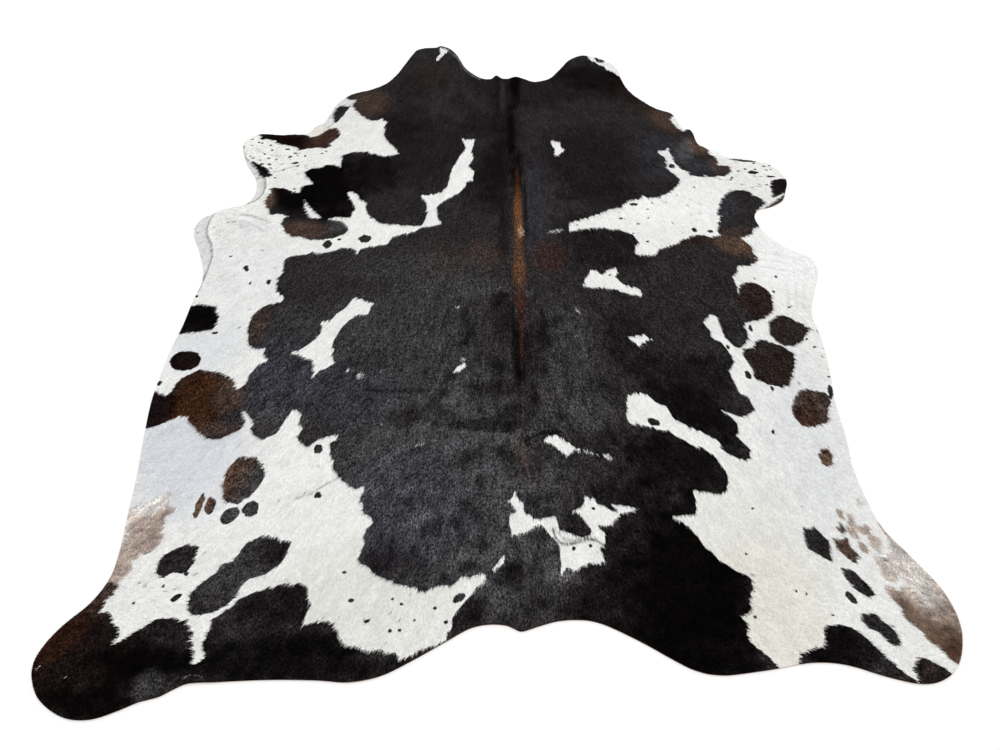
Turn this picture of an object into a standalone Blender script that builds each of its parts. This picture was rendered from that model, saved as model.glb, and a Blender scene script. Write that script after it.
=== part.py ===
"""A whole cowhide rug: one sheet of hair-on leather lying flat, hair side up.

Metres, +Z up. The origin is on the floor under the middle of the hide's box. +Y runs along
the spine to the neck, -Y to the tail, and -X is the side of the left legs in the plan.
The sheet rests on the floor, lifts off it along the folds of the table below, and comes back
to the floor at its rim.
"""

import math

import bmesh
import bpy
from mathutils import Vector
from mathutils.geometry import delaunay_2d_cdt, intersect_point_line

# Driving dimensions, metres
HIDE_WIDTH = 2.03                # across the hind shanks
HIDE_LENGTH = 2.342              # left neck lobe to left hind shank
LEATHER = 0.0022                 # tanned skin
COAT = 0.0023                    # short hair, as it lies
SHEET = LEATHER + COAT

# How finely the sheet is divided, metres
RIM_STEP = 0.024                 # along the rim
CREST_STEP = 0.020               # along a fold's crest
FLAT_PITCH = 0.085               # over the flat middle
RIM_CLEAR = 0.009                # inner points stay this far from the rim
FOLD_CLEAR = 0.007               # and this far from each other near a fold
FLAT_CLEAR = 0.045               # and this far from others over the flat middle
INNER_ROWS = (0.22, 0.45, 0.7, 1.0)   # rows of points beside a crest, as shares of its reach
OUTER_ROWS = (0.33, 0.66, 1.0)

CM = 0.01
MM = 0.001

# Colour of the leather and hair as one mass, seen plain
HIDE_COLOUR = (0.045, 0.040, 0.038, 1.0)
HIDE_ROUGHNESS = 0.62

# The rim in plan, in cm, anticlockwise from the right shoulder: (stretch, its points x, y)
RIM = (
    ("right neck lobe", (
        (54.0, 80.4), (50.0, 84.2), (46.2, 89.0), (44.4, 93.0), (43.2, 97.8), (42.7, 101.5),
        (41.0, 105.5), (38.0, 108.3), (34.5, 110.3), (31.0, 111.2), (28.5, 110.8),
        (24.8, 108.1), (21.5, 103.0), (18.0, 98.0), (15.0, 96.2), (11.5, 95.5))),
    ("neck edge and its two nubs", (
        (8.5, 96.9), (5.0, 98.5), (2.4, 97.3), (0.0, 97.5), (-1.2, 98.7), (-1.9, 99.2),
        (-2.7, 98.7), (-3.6, 97.4), (-5.5, 97.0))),
    ("left neck lobe", (
        (-8.5, 98.1), (-12.0, 101.5), (-14.2, 104.8), (-16.5, 110.3), (-19.2, 114.8),
        (-21.5, 116.5), (-23.2, 117.1), (-24.6, 116.1), (-28.0, 115.9), (-31.5, 114.8),
        (-33.6, 111.2), (-36.0, 105.3), (-38.4, 99.5), (-42.0, 94.2))),
    ("left shoulder", (
        (-47.5, 90.7), (-53.0, 88.5), (-57.3, 84.2), (-59.3, 80.0), (-60.4, 75.6),
        (-61.9, 72.3), (-64.0, 71.0), (-65.4, 68.3), (-67.3, 66.5))),
    ("left fore leg", (
        (-70.5, 66.6), (-75.0, 66.3), (-82.0, 66.8), (-85.5, 65.1), (-87.5, 62.0),
        (-86.4, 57.1), (-83.6, 50.5), (-80.5, 45.2), (-79.1, 39.8), (-79.8, 35.4),
        (-82.2, 32.6))),
    ("left elbow", (
        (-87.5, 31.1), (-90.2, 28.8), (-93.3, 27.4), (-95.1, 24.2), (-95.0, 20.0),
        (-92.1, 13.8), (-89.4, 7.0), (-88.1, 0.5))),
    ("left belly", (
        (-89.3, -5.0), (-90.3, -15.2), (-91.8, -24.0), (-92.8, -38.0), (-92.1, -50.0),
        (-90.9, -62.0), (-90.5, -70.0), (-89.9, -80.0), (-90.3, -87.0))),
    ("left hind leg", (
        (-93.0, -92.8), (-97.9, -98.1), (-100.9, -103.0), (-101.4, -107.5), (-98.3, -112.9),
        (-92.1, -116.6), (-86.0, -117.1), (-80.2, -115.2), (-77.0, -113.8), (-72.6, -112.6),
        (-67.8, -110.2))),
    ("left rump", (
        (-62.0, -109.8), (-50.2, -109.3), (-40.0, -109.4), (-33.0, -109.8), (-26.5, -108.6),
        (-20.3, -105.7), (-12.2, -101.2), (-7.4, -98.6))),
    ("tail", (
        (-3.0, -97.7), (1.0, -98.0), (3.8, -99.2), (6.4, -98.6), (11.6, -97.1),
        (17.0, -96.7), (22.1, -97.6), (30.0, -101.3))),
    ("right rump", (
        (37.8, -105.7), (42.0, -107.6), (47.5, -108.4), (57.3, -107.3), (67.0, -105.8),
        (74.4, -106.3))),
    ("right hind leg", (
        (82.0, -108.6), (89.0, -110.1), (94.0, -109.4), (98.2, -106.5), (100.9, -101.4),
        (101.6, -96.0), (99.9, -89.5), (95.4, -82.4), (90.9, -75.7))),
    ("right belly", (
        (89.0, -69.3), (87.7, -60.0), (88.1, -50.0), (87.9, -40.0), (89.0, -27.6),
        (88.9, -18.0), (88.3, -11.0), (89.9, -5.2), (92.2, 0.5))),
    ("right elbow", (
        (93.8, 5.5), (92.7, 10.4), (88.5, 13.4), (84.0, 16.6), (81.0, 20.5), (79.7, 24.0))),
    ("right fore leg", (
        (79.1, 27.5), (80.8, 30.6), (84.5, 31.8), (89.0, 34.5), (91.0, 38.7), (92.5, 43.5),
        (91.3, 47.9), (88.0, 51.9), (83.5, 53.4), (75.5, 55.6))),
    ("right shoulder", (
        (71.0, 58.8), (66.5, 61.3), (65.1, 65.5), (64.2, 68.1), (61.9, 69.5), (61.0, 73.5),
        (59.5, 77.3), (57.0, 78.9))),
)

# The folds. Each crest is drawn with the rim, or the steeper side, on its left. It gives
# x and y in cm and the lift off the floor in mm. The reaches, in cm, say how far from the
# crest the sheet is back on the floor: first on the left, then towards the middle.
FOLDS = (
    # name, reach outward, reach inward, crest points (x, y, lift)
    ("left neck lobe", 1.3, 3.5, (
        (-24.2, 114.6, 2), (-20.6, 114.2, 6), (-17.5, 110.9, 7), (-15.9, 107.0, 7),
        (-14.4, 102.6, 6), (-11.5, 99.3, 4), (-7.5, 96.6, 0))),
    ("left shoulder", 1.5, 6.5, (
        (-61.5, 68.2, 2), (-59.6, 69.4, 7), (-57.0, 72.0, 11), (-54.6, 76.4, 13),
        (-53.2, 80.4, 11), (-50.8, 84.8, 5), (-48.5, 87.5, 0))),
    ("left fore leg", 1.4, 5.5, (
        (-81.5, 32.9, 0), (-77.6, 34.0, 7), (-76.1, 36.5, 11), (-75.6, 40.0, 12),
        (-76.8, 44.8, 11), (-79.8, 49.0, 10), (-82.6, 51.9, 8), (-85.2, 55.0, 5),
        (-86.9, 58.6, 0))),
    ("left elbow", 1.5, 7.0, (
        (-88.6, -3.0, 0), (-87.6, 1.5, 5), (-86.9, 6.0, 8), (-86.6, 10.5, 10),
        (-87.9, 15.0, 12), (-90.0, 19.0, 13), (-90.6, 22.5, 13), (-90.2, 26.5, 10),
        (-89.2, 30.0, 2))),
    ("left elbow wrinkle, front", 2.2, 2.2, (
        (-72.0, 25.8, 0), (-76.5, 27.8, 4), (-81.0, 28.9, 5), (-85.5, 29.2, 0))),
    ("left elbow wrinkle, back", 2.5, 2.5, (
        (-70.5, 20.6, 0), (-76.0, 23.4, 5), (-81.0, 25.6, 6), (-86.0, 26.0, 0))),
    ("left rump", 1.4, 2.0, (
        (-60.5, -109.3, 0), (-64.0, -108.6, 4), (-67.5, -108.3, 5), (-71.0, -109.4, 2),
        (-74.0, -110.6, 0))),
    ("right elbow", 3.0, 4.5, (
        (72.0, 13.0, 0), (77.0, 16.5, 4), (81.2, 18.6, 7), (85.6, 17.4, 0))),
    ("right fore leg", 1.2, 3.2, (
        (83.2, 33.0, 0), (86.0, 34.9, 5), (88.6, 36.6, 6), (90.9, 39.0, 2))),
    ("right shoulder", 3.0, 4.5, (
        (64.9, 68.0, 9), (63.9, 64.5, 11), (61.6, 60.5, 8), (59.4, 55.5, 4), (57.5, 50.0, 0))),
    ("crease across the neck", 3.0, 3.0, (
        (-34.0, 76.5, 0), (-24.0, 73.0, 3), (-12.0, 71.4, 3), (1.0, 72.6, 0))),
    ("crease across the loin", 3.0, 3.0, (
        (-63.0, -41.5, 0), (-46.0, -38.6, 3), (-32.0, -37.0, 4), (-17.0, -37.4, 0))),
    ("crease across the rump", 3.0, 3.0, (
        (-30.0, -46.5, 0), (-14.0, -48.8, 3), (2.0, -49.6, 4), (22.0, -51.4, 0))),
    ("crease by the tail", 3.0, 3.0, (
        (-34.0, -79.0, 0), (-24.0, -79.6, 3), (-10.0, -79.2, 2), (0.0, -80.5, 0))),
)


def clear_scene():
    """Remove every object of the open scene."""
    for thing in list(bpy.data.objects):
        bpy.data.objects.remove(thing, do_unlink=True)


def along(points, step, closed):
    """Points about one step apart on the smooth curve through the given ones."""
    count = len(points)
    spans = count if closed else count - 1
    walk = []
    for i in range(spans):
        a = points[(i - 1) % count] if closed else points[max(i - 1, 0)]
        b = points[i]
        c = points[(i + 1) % count]
        d = points[(i + 2) % count] if closed else points[min(i + 2, count - 1)]
        parts = max(2, round((c.xy - b.xy).length / step))
        for k in range(parts):
            t = k / parts
            walk.append(0.5 * (2.0 * b + (c - a) * t
                               + (2.0 * a - 5.0 * b + 4.0 * c - d) * t ** 2
                               + (3.0 * b - a - 3.0 * c + d) * t ** 3))
    if not closed:
        walk.append(points[-1].copy())
    return walk


def hide_rim():
    """The rim as closed plan points, centred and brought to the driving size, and its fit.

    The fit takes a point of the tables, in metres, to its place on the sheet.
    """
    drawn = [Vector((x, y, 0.0)) * CM for _, stretch in RIM for x, y in stretch]
    walk = along(drawn, RIM_STEP, closed=True)
    low = Vector((min(p.x for p in walk), min(p.y for p in walk)))
    high = Vector((max(p.x for p in walk), max(p.y for p in walk)))
    middle = (low + high) / 2.0
    stretch_x = HIDE_WIDTH / (high.x - low.x)
    stretch_y = HIDE_LENGTH / (high.y - low.y)

    def fit(p):
        return Vector(((p.x - middle.x) * stretch_x, (p.y - middle.y) * stretch_y, p.z))

    return [fit(p) for p in walk], fit


class Fold:
    """One fold: a smooth crest line that carries its lift in z, and its two reaches."""

    def __init__(self, outward, inward, crest, fit):
        points = [fit(Vector((x * CM, y * CM, lift * MM))) for x, y, lift in crest]
        self.crest = along(points, CREST_STEP, closed=False)
        self.outward = outward * CM
        self.inward = inward * CM

    def lift_at(self, place):
        """Height of this fold's underside above the floor at a plan point."""
        best = None
        for a, b in zip(self.crest, self.crest[1:]):
            foot, share = intersect_point_line(place, a.xy, b.xy)
            share = min(1.0, max(0.0, share))
            foot = a.lerp(b, share)
            away = place - foot.xy
            if best is None or away.length < best[0]:
                side = (b.xy - a.xy).cross(away)
                best = (away.length, side, foot.z)
        distance, side, height = best
        reach = self.outward if side > 0.0 else self.inward
        if distance >= reach:
            return 0.0
        return max(0.0, height) * 0.5 * (1.0 + math.cos(math.pi * distance / reach))

    def rows(self):
        """Plan points on the crest and in rows on both sides of it."""
        for i, here in enumerate(self.crest):
            before = self.crest[max(i - 1, 0)].xy
            after = self.crest[min(i + 1, len(self.crest) - 1)].xy
            left = (after - before).orthogonal().normalized()
            yield here.xy
            for share in OUTER_ROWS:
                yield here.xy + left * share * self.outward
            for share in INNER_ROWS:
                yield here.xy - left * share * self.inward


def inside(place, rim):
    """Whether a plan point lies within the rim."""
    crossings = False
    for a, b in zip(rim, rim[1:] + rim[:1]):
        if (a.y > place.y) != (b.y > place.y):
            if place.x < a.x + (b.x - a.x) * (place.y - a.y) / (b.y - a.y):
                crossings = not crossings
    return crossings


def clear_of(place, others, distance):
    """Whether a plan point keeps a distance from all the others."""
    return all((place - other.xy).length >= distance for other in others)


def rim_gap(place, rim):
    """Distance from a plan point to the rim."""
    gap = HIDE_LENGTH
    for a, b in zip(rim, rim[1:] + rim[:1]):
        foot, share = intersect_point_line(place, a.xy, b.xy)
        share = min(1.0, max(0.0, share))
        gap = min(gap, (place - a.xy.lerp(b.xy, share)).length)
    return gap


def plan_points(rim, folds):
    """Inner plan points: rows beside each fold, and a wide even pattern over the flat."""
    points = []
    for fold in folds:
        for place in fold.rows():
            if (clear_of(place, points, FOLD_CLEAR) and inside(place, rim)
                    and rim_gap(place, rim) > RIM_CLEAR):
                points.append(place)
    row_pitch = FLAT_PITCH * math.sqrt(3.0) / 2.0
    rows = int(HIDE_LENGTH / row_pitch) + 1
    columns = int(HIDE_WIDTH / FLAT_PITCH) + 1
    for row in range(rows):
        shift = FLAT_PITCH / 2.0 if row % 2 else 0.0
        for column in range(columns):
            place = Vector((column * FLAT_PITCH + shift - HIDE_WIDTH / 2.0,
                            row * row_pitch - HIDE_LENGTH / 2.0))
            if (clear_of(place, points, FLAT_CLEAR) and inside(place, rim)
                    and rim_gap(place, rim) > FLAT_CLEAR / 2.0):
                points.append(place)
    return points


def build_hide():
    """The hide: a plan divided into triangles, lifted along its folds and given thickness."""
    rim, fit = hide_rim()
    folds = [Fold(outward, inward, crest, fit) for _, outward, inward, crest in FOLDS]
    plan = [p.xy for p in rim] + plan_points(rim, folds)
    border = list(range(len(rim)))
    inside_only = 1
    merge = 1e-6
    plan, _, faces, _, _, _ = delaunay_2d_cdt(plan, [], [border], inside_only, merge)

    shape = bmesh.new()
    under = []
    over = []
    for place in plan:
        lift = max(fold.lift_at(place) for fold in folds)
        under.append(shape.verts.new((place.x, place.y, lift)))
        over.append(shape.verts.new((place.x, place.y, lift + SHEET)))
    for face in faces:
        shape.faces.new([over[i] for i in face])
        shape.faces.new([under[i] for i in reversed(face)])
    twin = dict(zip(over, under))
    open_edges = [edge for edge in shape.edges if edge.is_boundary and edge.verts[0] in twin]
    for edge in open_edges:
        loop = edge.link_loops[0]
        a = loop.vert
        b = loop.link_loop_next.vert
        shape.faces.new((b, a, twin[a], twin[b]))
    bmesh.ops.triangulate(shape, faces=[f for f in shape.faces if len(f.verts) > 3])
    mesh = bpy.data.meshes.new("hide")
    shape.to_mesh(mesh)
    shape.free()
    mesh.shade_smooth()
    mesh.set_sharp_from_angle(angle=math.radians(40.0))
    hide = bpy.data.objects.new("hide", mesh)
    bpy.context.scene.collection.objects.link(hide)
    return hide


def hide_material():
    """Leather with its coat of short hair, as one plain surface."""
    material = bpy.data.materials.new("cowhide")
    material.use_nodes = True
    surface = material.node_tree.nodes["Principled BSDF"]
    surface.inputs["Base Color"].default_value = HIDE_COLOUR
    surface.inputs["Roughness"].default_value = HIDE_ROUGHNESS
    surface.inputs["Metallic"].default_value = 0.0
    return material


def main():
    """Model the rug."""
    clear_scene()
    hide = build_hide()
    hide.data.materials.append(hide_material())


main()
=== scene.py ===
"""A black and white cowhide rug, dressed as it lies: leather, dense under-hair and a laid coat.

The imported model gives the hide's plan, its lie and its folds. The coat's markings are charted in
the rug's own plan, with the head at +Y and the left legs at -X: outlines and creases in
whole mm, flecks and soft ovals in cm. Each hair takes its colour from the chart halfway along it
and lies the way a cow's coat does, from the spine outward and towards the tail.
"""
import logging
import math
from dataclasses import dataclass, field
from enum import Enum
from itertools import product

import bpy
import numpy as np
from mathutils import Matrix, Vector
from mathutils.bvhtree import BVHTree
from mathutils.geometry import delaunay_2d_cdt


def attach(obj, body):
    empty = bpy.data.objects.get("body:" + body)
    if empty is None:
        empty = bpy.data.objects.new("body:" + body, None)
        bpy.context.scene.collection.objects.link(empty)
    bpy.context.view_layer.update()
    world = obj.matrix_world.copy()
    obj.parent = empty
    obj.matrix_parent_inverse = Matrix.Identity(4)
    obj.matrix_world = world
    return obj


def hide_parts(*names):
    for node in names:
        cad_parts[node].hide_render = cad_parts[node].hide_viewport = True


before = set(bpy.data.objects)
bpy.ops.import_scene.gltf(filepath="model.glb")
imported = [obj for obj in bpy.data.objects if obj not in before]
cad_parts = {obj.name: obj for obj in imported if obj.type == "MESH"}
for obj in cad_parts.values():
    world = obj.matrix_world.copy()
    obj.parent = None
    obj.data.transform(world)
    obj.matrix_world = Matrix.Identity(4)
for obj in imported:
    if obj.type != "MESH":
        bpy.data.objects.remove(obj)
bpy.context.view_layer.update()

LOG = logging.getLogger("cowhide_rug")
CM = 0.01
TINY = 1e-12
LEAST_RISE = 1e-6
FULL_CHANNEL = 255.0
TENTHS = 10.0
Points = tuple[tuple[float, float], ...]
Colour = tuple[float, float, float]
Array = np.ndarray
Piece = bpy.types.Object
Socket = bpy.types.NodeSocket


def srgb(*channels: int) -> Colour:
    """Turn a screen's colour, 0 to 255, into the linear one that shaders use, by the sRGB curve."""
    shares = (channel / FULL_CHANNEL for channel in channels)
    return tuple(s / 12.92 if s <= 0.04045 else ((s + 0.055) / 1.055) ** 2.4 for s in shares)


# ---------------------------------------------------------------- colours and marks of the coat


class Tone(Enum):
    """Colours that the hair takes; grey, steel and silver also serve as painted sheen on the dark hair."""

    WHITE = srgb(241, 241, 239)
    CREAM = srgb(238, 235, 223)
    COOL = srgb(220, 222, 228)
    IVORY = srgb(231, 231, 225)
    SNOW = srgb(250, 250, 250)
    GREY_SHADE = srgb(196, 196, 200)
    TAUPE = srgb(186, 170, 159)
    # grey of the flaps and wrinkles: partly skin through thin hair, partly painted shade
    SAND = srgb(178, 138, 104)
    # painted sheen on the dark hair and painted highlights along crests
    SHEEN_SILVER = srgb(128, 126, 128)
    # steel and grey: partly the dark hair's own tone, partly painted sheen
    STEEL = srgb(64, 65, 72)
    GREY = srgb(70, 69, 71)
    COAT = srgb(45, 42, 43)
    SOOT = srgb(25, 20, 22)
    INK = srgb(9, 6, 8)
    BLACK = srgb(4, 2, 2)
    MAROON = srgb(18, 5, 5)
    UMBER = srgb(46, 34, 30)
    BROWN = srgb(80, 63, 55)
    OLIVE = srgb(56, 31, 17)
    TAN = srgb(98, 77, 63)
    CHESTNUT = srgb(60, 35, 19)
    RUST = srgb(70, 42, 33)
    GINGER = srgb(126, 84, 50)


@dataclass(frozen=True)
class Patch:
    """One marking: its name and its outline in plan, in cm."""

    name: str
    outline: Points


@dataclass(frozen=True)
class Spot:
    """One oval fleck, in cm: where it is, its two half sizes and its turn in degrees."""

    x: float
    y: float
    across: float = 0.42
    along: float = 0.34
    turn: float = 0.0


@dataclass(frozen=True, kw_only=True)
class Shade(Spot):
    """A soft oval of another tone, with the tone's strength at its middle."""

    tone: Tone
    strength: float


@dataclass(frozen=True)
class Crease:
    """A crease line painted over the hair, as shade where it folds down and as highlight on crests: points
    and half width in cm, tone, strength.
    """

    name: str
    line: Points
    half_width: float
    tone: Tone
    strength: float


def points(*mm: int) -> Points:
    """Pair up plan coordinates, charted in whole mm, into points in cm."""
    return tuple(zip((x / TENTHS for x in mm[0::2]), (y / TENTHS for y in mm[1::2])))


def patch(name: str, *mm: int) -> Patch:
    """Chart one marking by its name and its outline's coordinates in mm."""
    return Patch(name, points(*mm))


def toned(tone: Tone, *rows: tuple[float, ...]) -> tuple[Shade, ...]:
    """Make soft ovals of one tone from rows of place, half sizes, strength and turn."""
    return tuple(Shade(*row[:4], *row[5:], tone=tone, strength=row[4]) for row in rows)


# ---------------------------------------------------------------- the markings, as charted

# The dark body's two edges from the head to the tail; their ends lie past the rim
LEFT_EDGE = points(-570, 885, -536, 848, -512, 850, -514, 833, -524, 817, -521, 800, -490, 762, -455, 740,
    -431, 738, -419, 750, -407, 736, -393, 729, -403, 717, -402, 667, -395, 643, -383, 624, -364, 605,
    -345, 568, -393, 555, -426, 569, -440, 567, -450, 579, -498, 577, -531, 560, -531, 502, -555, 514,
    -581, 515, -588, 499, -617, 500, -648, 479, -638, 457, -621, 440, -612, 424, -638, 417, -648, 402,
    -649, 383, -679, 390, -698, 402, -736, 398, -740, 390, -736, 371, -745, 367, -749, 348, -748, 329,
    -740, 310, -731, 300, -732, 288, -717, 283, -702, 290, -667, 279, -683, 271, -686, 245, -669, 210,
    -645, 193, -617, 190, -583, 179, -550, 179, -517, 187, -488, 200, -476, 219, -481, 240, -498, 257,
    -545, 267, -521, 276, -474, 271, -469, 295, -460, 307, -498, 386, -483, 391, -462, 374, -448, 352,
    -431, 340, -426, 295, -383, 250, -350, 243, -256, 236, -239, 259, -235, 298, -241, 338, -259, 370,
    -220, 376, -193, 387, -176, 412, -166, 488, -142, 553, -122, 594, -136, 646, -117, 638, -91, 644,
    -103, 586, -95, 545, -110, 512, -93, 480, -96, 437, -115, 437, -120, 412, -135, 386, -192, 341,
    -209, 319, -200, 272, -187, 246, -250, 229, -280, 210, -336, 193, -350, 160, -407, 151, -431, 140,
    -438, 117, -440, 133, -455, 145, -479, 149, -526, 128, -550, 125, -574, 130, -593, 119, -636, 112,
    -650, 100, -651, 48, -659, 24, -660, 0, -655, -19, -645, -38, -629, -45, -636, -62, -686, -79,
    -707, -102, -718, -145, -708, -195, -700, -217, -676, -232, -652, -224, -659, -248, -638, -267,
    -664, -281, -679, -305, -690, -348, -710, -363, -721, -333, -740, -317, -769, -305, -821, -296,
    -864, -324, -874, -338, -886, -383, -902, -374, -914, -376, -919, -364, -945, -367, -950, -476,
    -902, -475, -840, -443, -819, -445, -814, -457, -783, -490, -764, -505, -740, -513, -717, -507,
    -676, -481, -665, -462, -680, -431, -671, -429, -657, -452, -645, -457, -648, -481, -638, -498,
    -610, -514, -598, -502, -583, -495, -550, -419, -524, -438, -529, -462, -517, -481, -526, -505,
    -517, -519, -500, -530, -455, -507, -421, -498, -426, -510, -440, -524, -438, -548, -417, -600,
    -400, -625, -378, -643, -360, -650, -339, -640, -346, -679, -339, -690, -341, -705, -324, -719,
    -312, -736, -327, -752, -328, -781, -336, -829, -322, -843, -274, -874, -222, -891, -179, -900,
    -150, -891, -117, -886, -93, -871, -43, -860, -39, -867, -103, -943, -112, -962, -112, -986, -122, -995,
    -130, -1040)
RIGHT_EDGE = points(620, 790, 595, 770, 590, 755, 582, 745, 590, 719, 616, 674, 623, 683, 665, 700,
    685, 620, 673, 602, 690, 590, 687, 569, 704, 555, 713, 533, 711, 510, 742, 510, 751, 498, 749, 481,
    725, 458, 706, 462, 670, 455, 663, 463, 654, 456, 613, 464, 611, 479, 582, 498, 570, 521, 556, 600,
    549, 586, 516, 579, 542, 548, 540, 498, 574, 448, 570, 424, 542, 390, 501, 362, 468, 360, 449, 367,
    430, 352, 404, 350, 397, 338, 378, 329, 378, 317, 344, 314, 330, 302, 250, 265, 208, 255, 205, 213,
    250, 225, 310, 230, 330, 224, 359, 221, 382, 212, 404, 198, 416, 167, 404, 150, 401, 120, 461, 114,
    473, 140, 530, 162, 549, 181, 582, 195, 616, 200, 640, 190, 669, 198, 663, 219, 670, 236, 675, 267,
    685, 281, 672, 283, 694, 352, 720, 383, 744, 395, 778, 395, 799, 379, 797, 369, 816, 367, 830, 348,
    828, 331, 799, 302, 815, 280, 815, 240, 775, 226, 766, 205, 744, 190, 730, 186, 754, 148, 756, 129,
    766, 105, 761, 90, 744, 83, 742, 74, 701, 74, 697, 57, 678, 29, 685, 0, 682, -50, 697, 5, 720, 14,
    754, 0, 775, -26, 779, -52, 778, -86, 759, -112, 740, -125, 692, -138, 680, -148, 687, -171, 686, -195,
    656, -228, 640, -219, 620, -190, 606, -114, 590, -110, 568, -138, 580, -167, 582, -190, 606, -205,
    630, -252, 628, -276, 611, -302, 630, -371, 649, -381, 659, -419, 654, -436, 635, -438, 620, -445,
    566, -421, 597, -445, 606, -469, 604, -493, 597, -500, 625, -538, 625, -562, 613, -571, 590, -564,
    568, -550, 554, -538, 554, -517, 473, -469, 444, -448, 430, -414, 401, -400, 382, -376, 359, -374,
    330, -379, 320, -445, 325, -465, 368, -469, 401, -482, 428, -485, 444, -502, 487, -529, 511, -537,
    537, -560, 544, -581, 556, -600, 559, -629, 551, -652, 535, -662, 466, -653, 472, -676, 468, -700,
    459, -717, 437, -721, 401, -721, 435, -738, 459, -767, 473, -793, 497, -824, 540, -857, 559, -862,
    568, -876, 568, -895, 554, -924, 556, -948, 530, -958, 542, -976, 537, -1010, 580, -1048, 594, -1067,
    600, -1100)

# How the dark body's outline runs past the rim, round the head and round the tail
ROUND_THE_HEAD = points(660, 880, 480, 1040, 380, 1220, -380, 1220, -600, 1000)
ROUND_THE_TAIL = points(0, -1080, 300, -1140)

DARK_PATCHES = (
    patch("left fore leg band", -826, 660, -840, 695, -660, 695, -670, 662, -645, 651, -621, 660, -593, 687,
          -564, 690, -552, 679, -550, 662, -555, 645, -581, 619, -574, 605, -593, 594, -620, 600, -679, 584,
          -688, 600, -760, 619, -769, 633, -812, 645),
    patch("left fore leg crest patch", -830, 526, -770, 490, -746, 456, -756, 444, -776, 446),
    patch("left shoulder spot", -576, 810, -562, 818, -526, 804, -550, 746, -571, 709, -583, 740, -588, 769),
    patch("left belly rim patch", -930, -76, -881, -76, -871, -69, -821, -83, -816, -100, -805, -119,
          -806, -143, -817, -162, -874, -175, -940, -176),
    patch("left belly brown-grey spot", -670, -569, -650, -560, -621, -562, -600, -581, -589, -610,
          -598, -638, -617, -671, -645, -690, -676, -680, -686, -655, -692, -624, -682, -590),
    patch("left thigh spot", -802, -848, -798, -824, -774, -805, -740, -790, -714, -798, -717, -833,
          -736, -862, -764, -860, -779, -874, -800, -860),
    patch("left thigh double spot", -602, -786, -574, -770, -540, -770, -521, -781, -498, -783, -502, -810,
          -517, -838, -545, -862, -583, -876, -595, -886, -598, -910, -621, -933, -645, -948, -688, -956,
          -700, -950, -712, -921, -700, -890, -655, -857, -655, -840, -629, -833),
    patch("left hind leg and rump", -950, -870, -905, -883, -879, -886, -883, -910, -898, -924, -898, -952,
          -883, -945, -867, -971, -852, -981, -845, -1000, -852, -1019, -769, -964, -726, -960, -717, -969,
          -700, -964, -695, -981, -683, -995, -681, -1014, -671, -1029, -669, -1060, -655, -1057,
          -645, -1043, -655, -1019, -645, -971, -652, -967, -626, -952, -593, -919, -560, -902, -498, -885,
          -471, -883, -448, -890, -432, -933, -440, -952, -443, -976, -402, -964, -379, -974, -364, -990,
          -351, -1017, -298, -1033, -270, -1031, -227, -1040, -224, -1052, -170, -1024, -120, -1010,
          -140, -1070, -600, -1140, -860, -1210, -1060, -1130, -1050, -980),
    patch("right fore leg patch", 873, 436, 882, 443, 901, 447, 923, 448, 950, 440, 930, 370, 904, 376,
          856, 352, 863, 381, 863, 405),
    patch("right fore leg strip beyond the fold", 829, 319, 840, 329, 868, 345, 901, 374, 920, 370,
          880, 320, 840, 300),
    patch("right flank spot", 756, -129, 787, -109, 811, -117, 830, -133, 849, -140, 851, -152, 866, -156,
          830, -205, 806, -219, 778, -218, 756, -200, 747, -176, 749, -148),
    patch("right flank second spot", 663, -229, 692, -221, 706, -202, 725, -198, 778, -219, 787, -233,
          804, -245, 792, -295, 766, -348, 744, -355, 706, -343, 682, -329, 661, -245),
    patch("right belly brown spot", 801, -360, 835, -364, 861, -374, 866, -400, 854, -414, 851, -438,
          840, -462, 806, -476, 773, -471, 759, -448, 756, -424, 768, -395, 782, -374),
    patch("right belly small brown spot", 806, -536, 828, -538, 830, -557, 823, -579, 811, -587, 799, -579,
          794, -557),
    patch("right hind leg", 637, -1060, 647, -1033, 704, -1019, 706, -981, 744, -976, 773, -981, 797, -1005,
          844, -1062, 885, -1099, 880, -1130, 630, -1100),
    patch("right paw patch", 897, -1045, 925, -1052, 963, -1079, 980, -1120, 887, -1120, 887, -1098,
          880, -1071),
    patch("right thigh spot, upper", 713, -748, 742, -745, 768, -783, 768, -810, 763, -832, 713, -802,
          708, -776),
    patch("right thigh brown spot", 780, -776, 813, -776, 816, -795, 830, -819, 816, -838, 780, -802),
    patch("right thigh spot, middle", 779, -846, 804, -850, 826, -876, 842, -910, 824, -915, 798, -894,
          784, -870),
    patch("right thigh spot, lower", 799, -952, 832, -952, 870, -998, 868, -1021, 849, -1021, 825, -990,
          806, -986, 797, -969),
)

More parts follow.
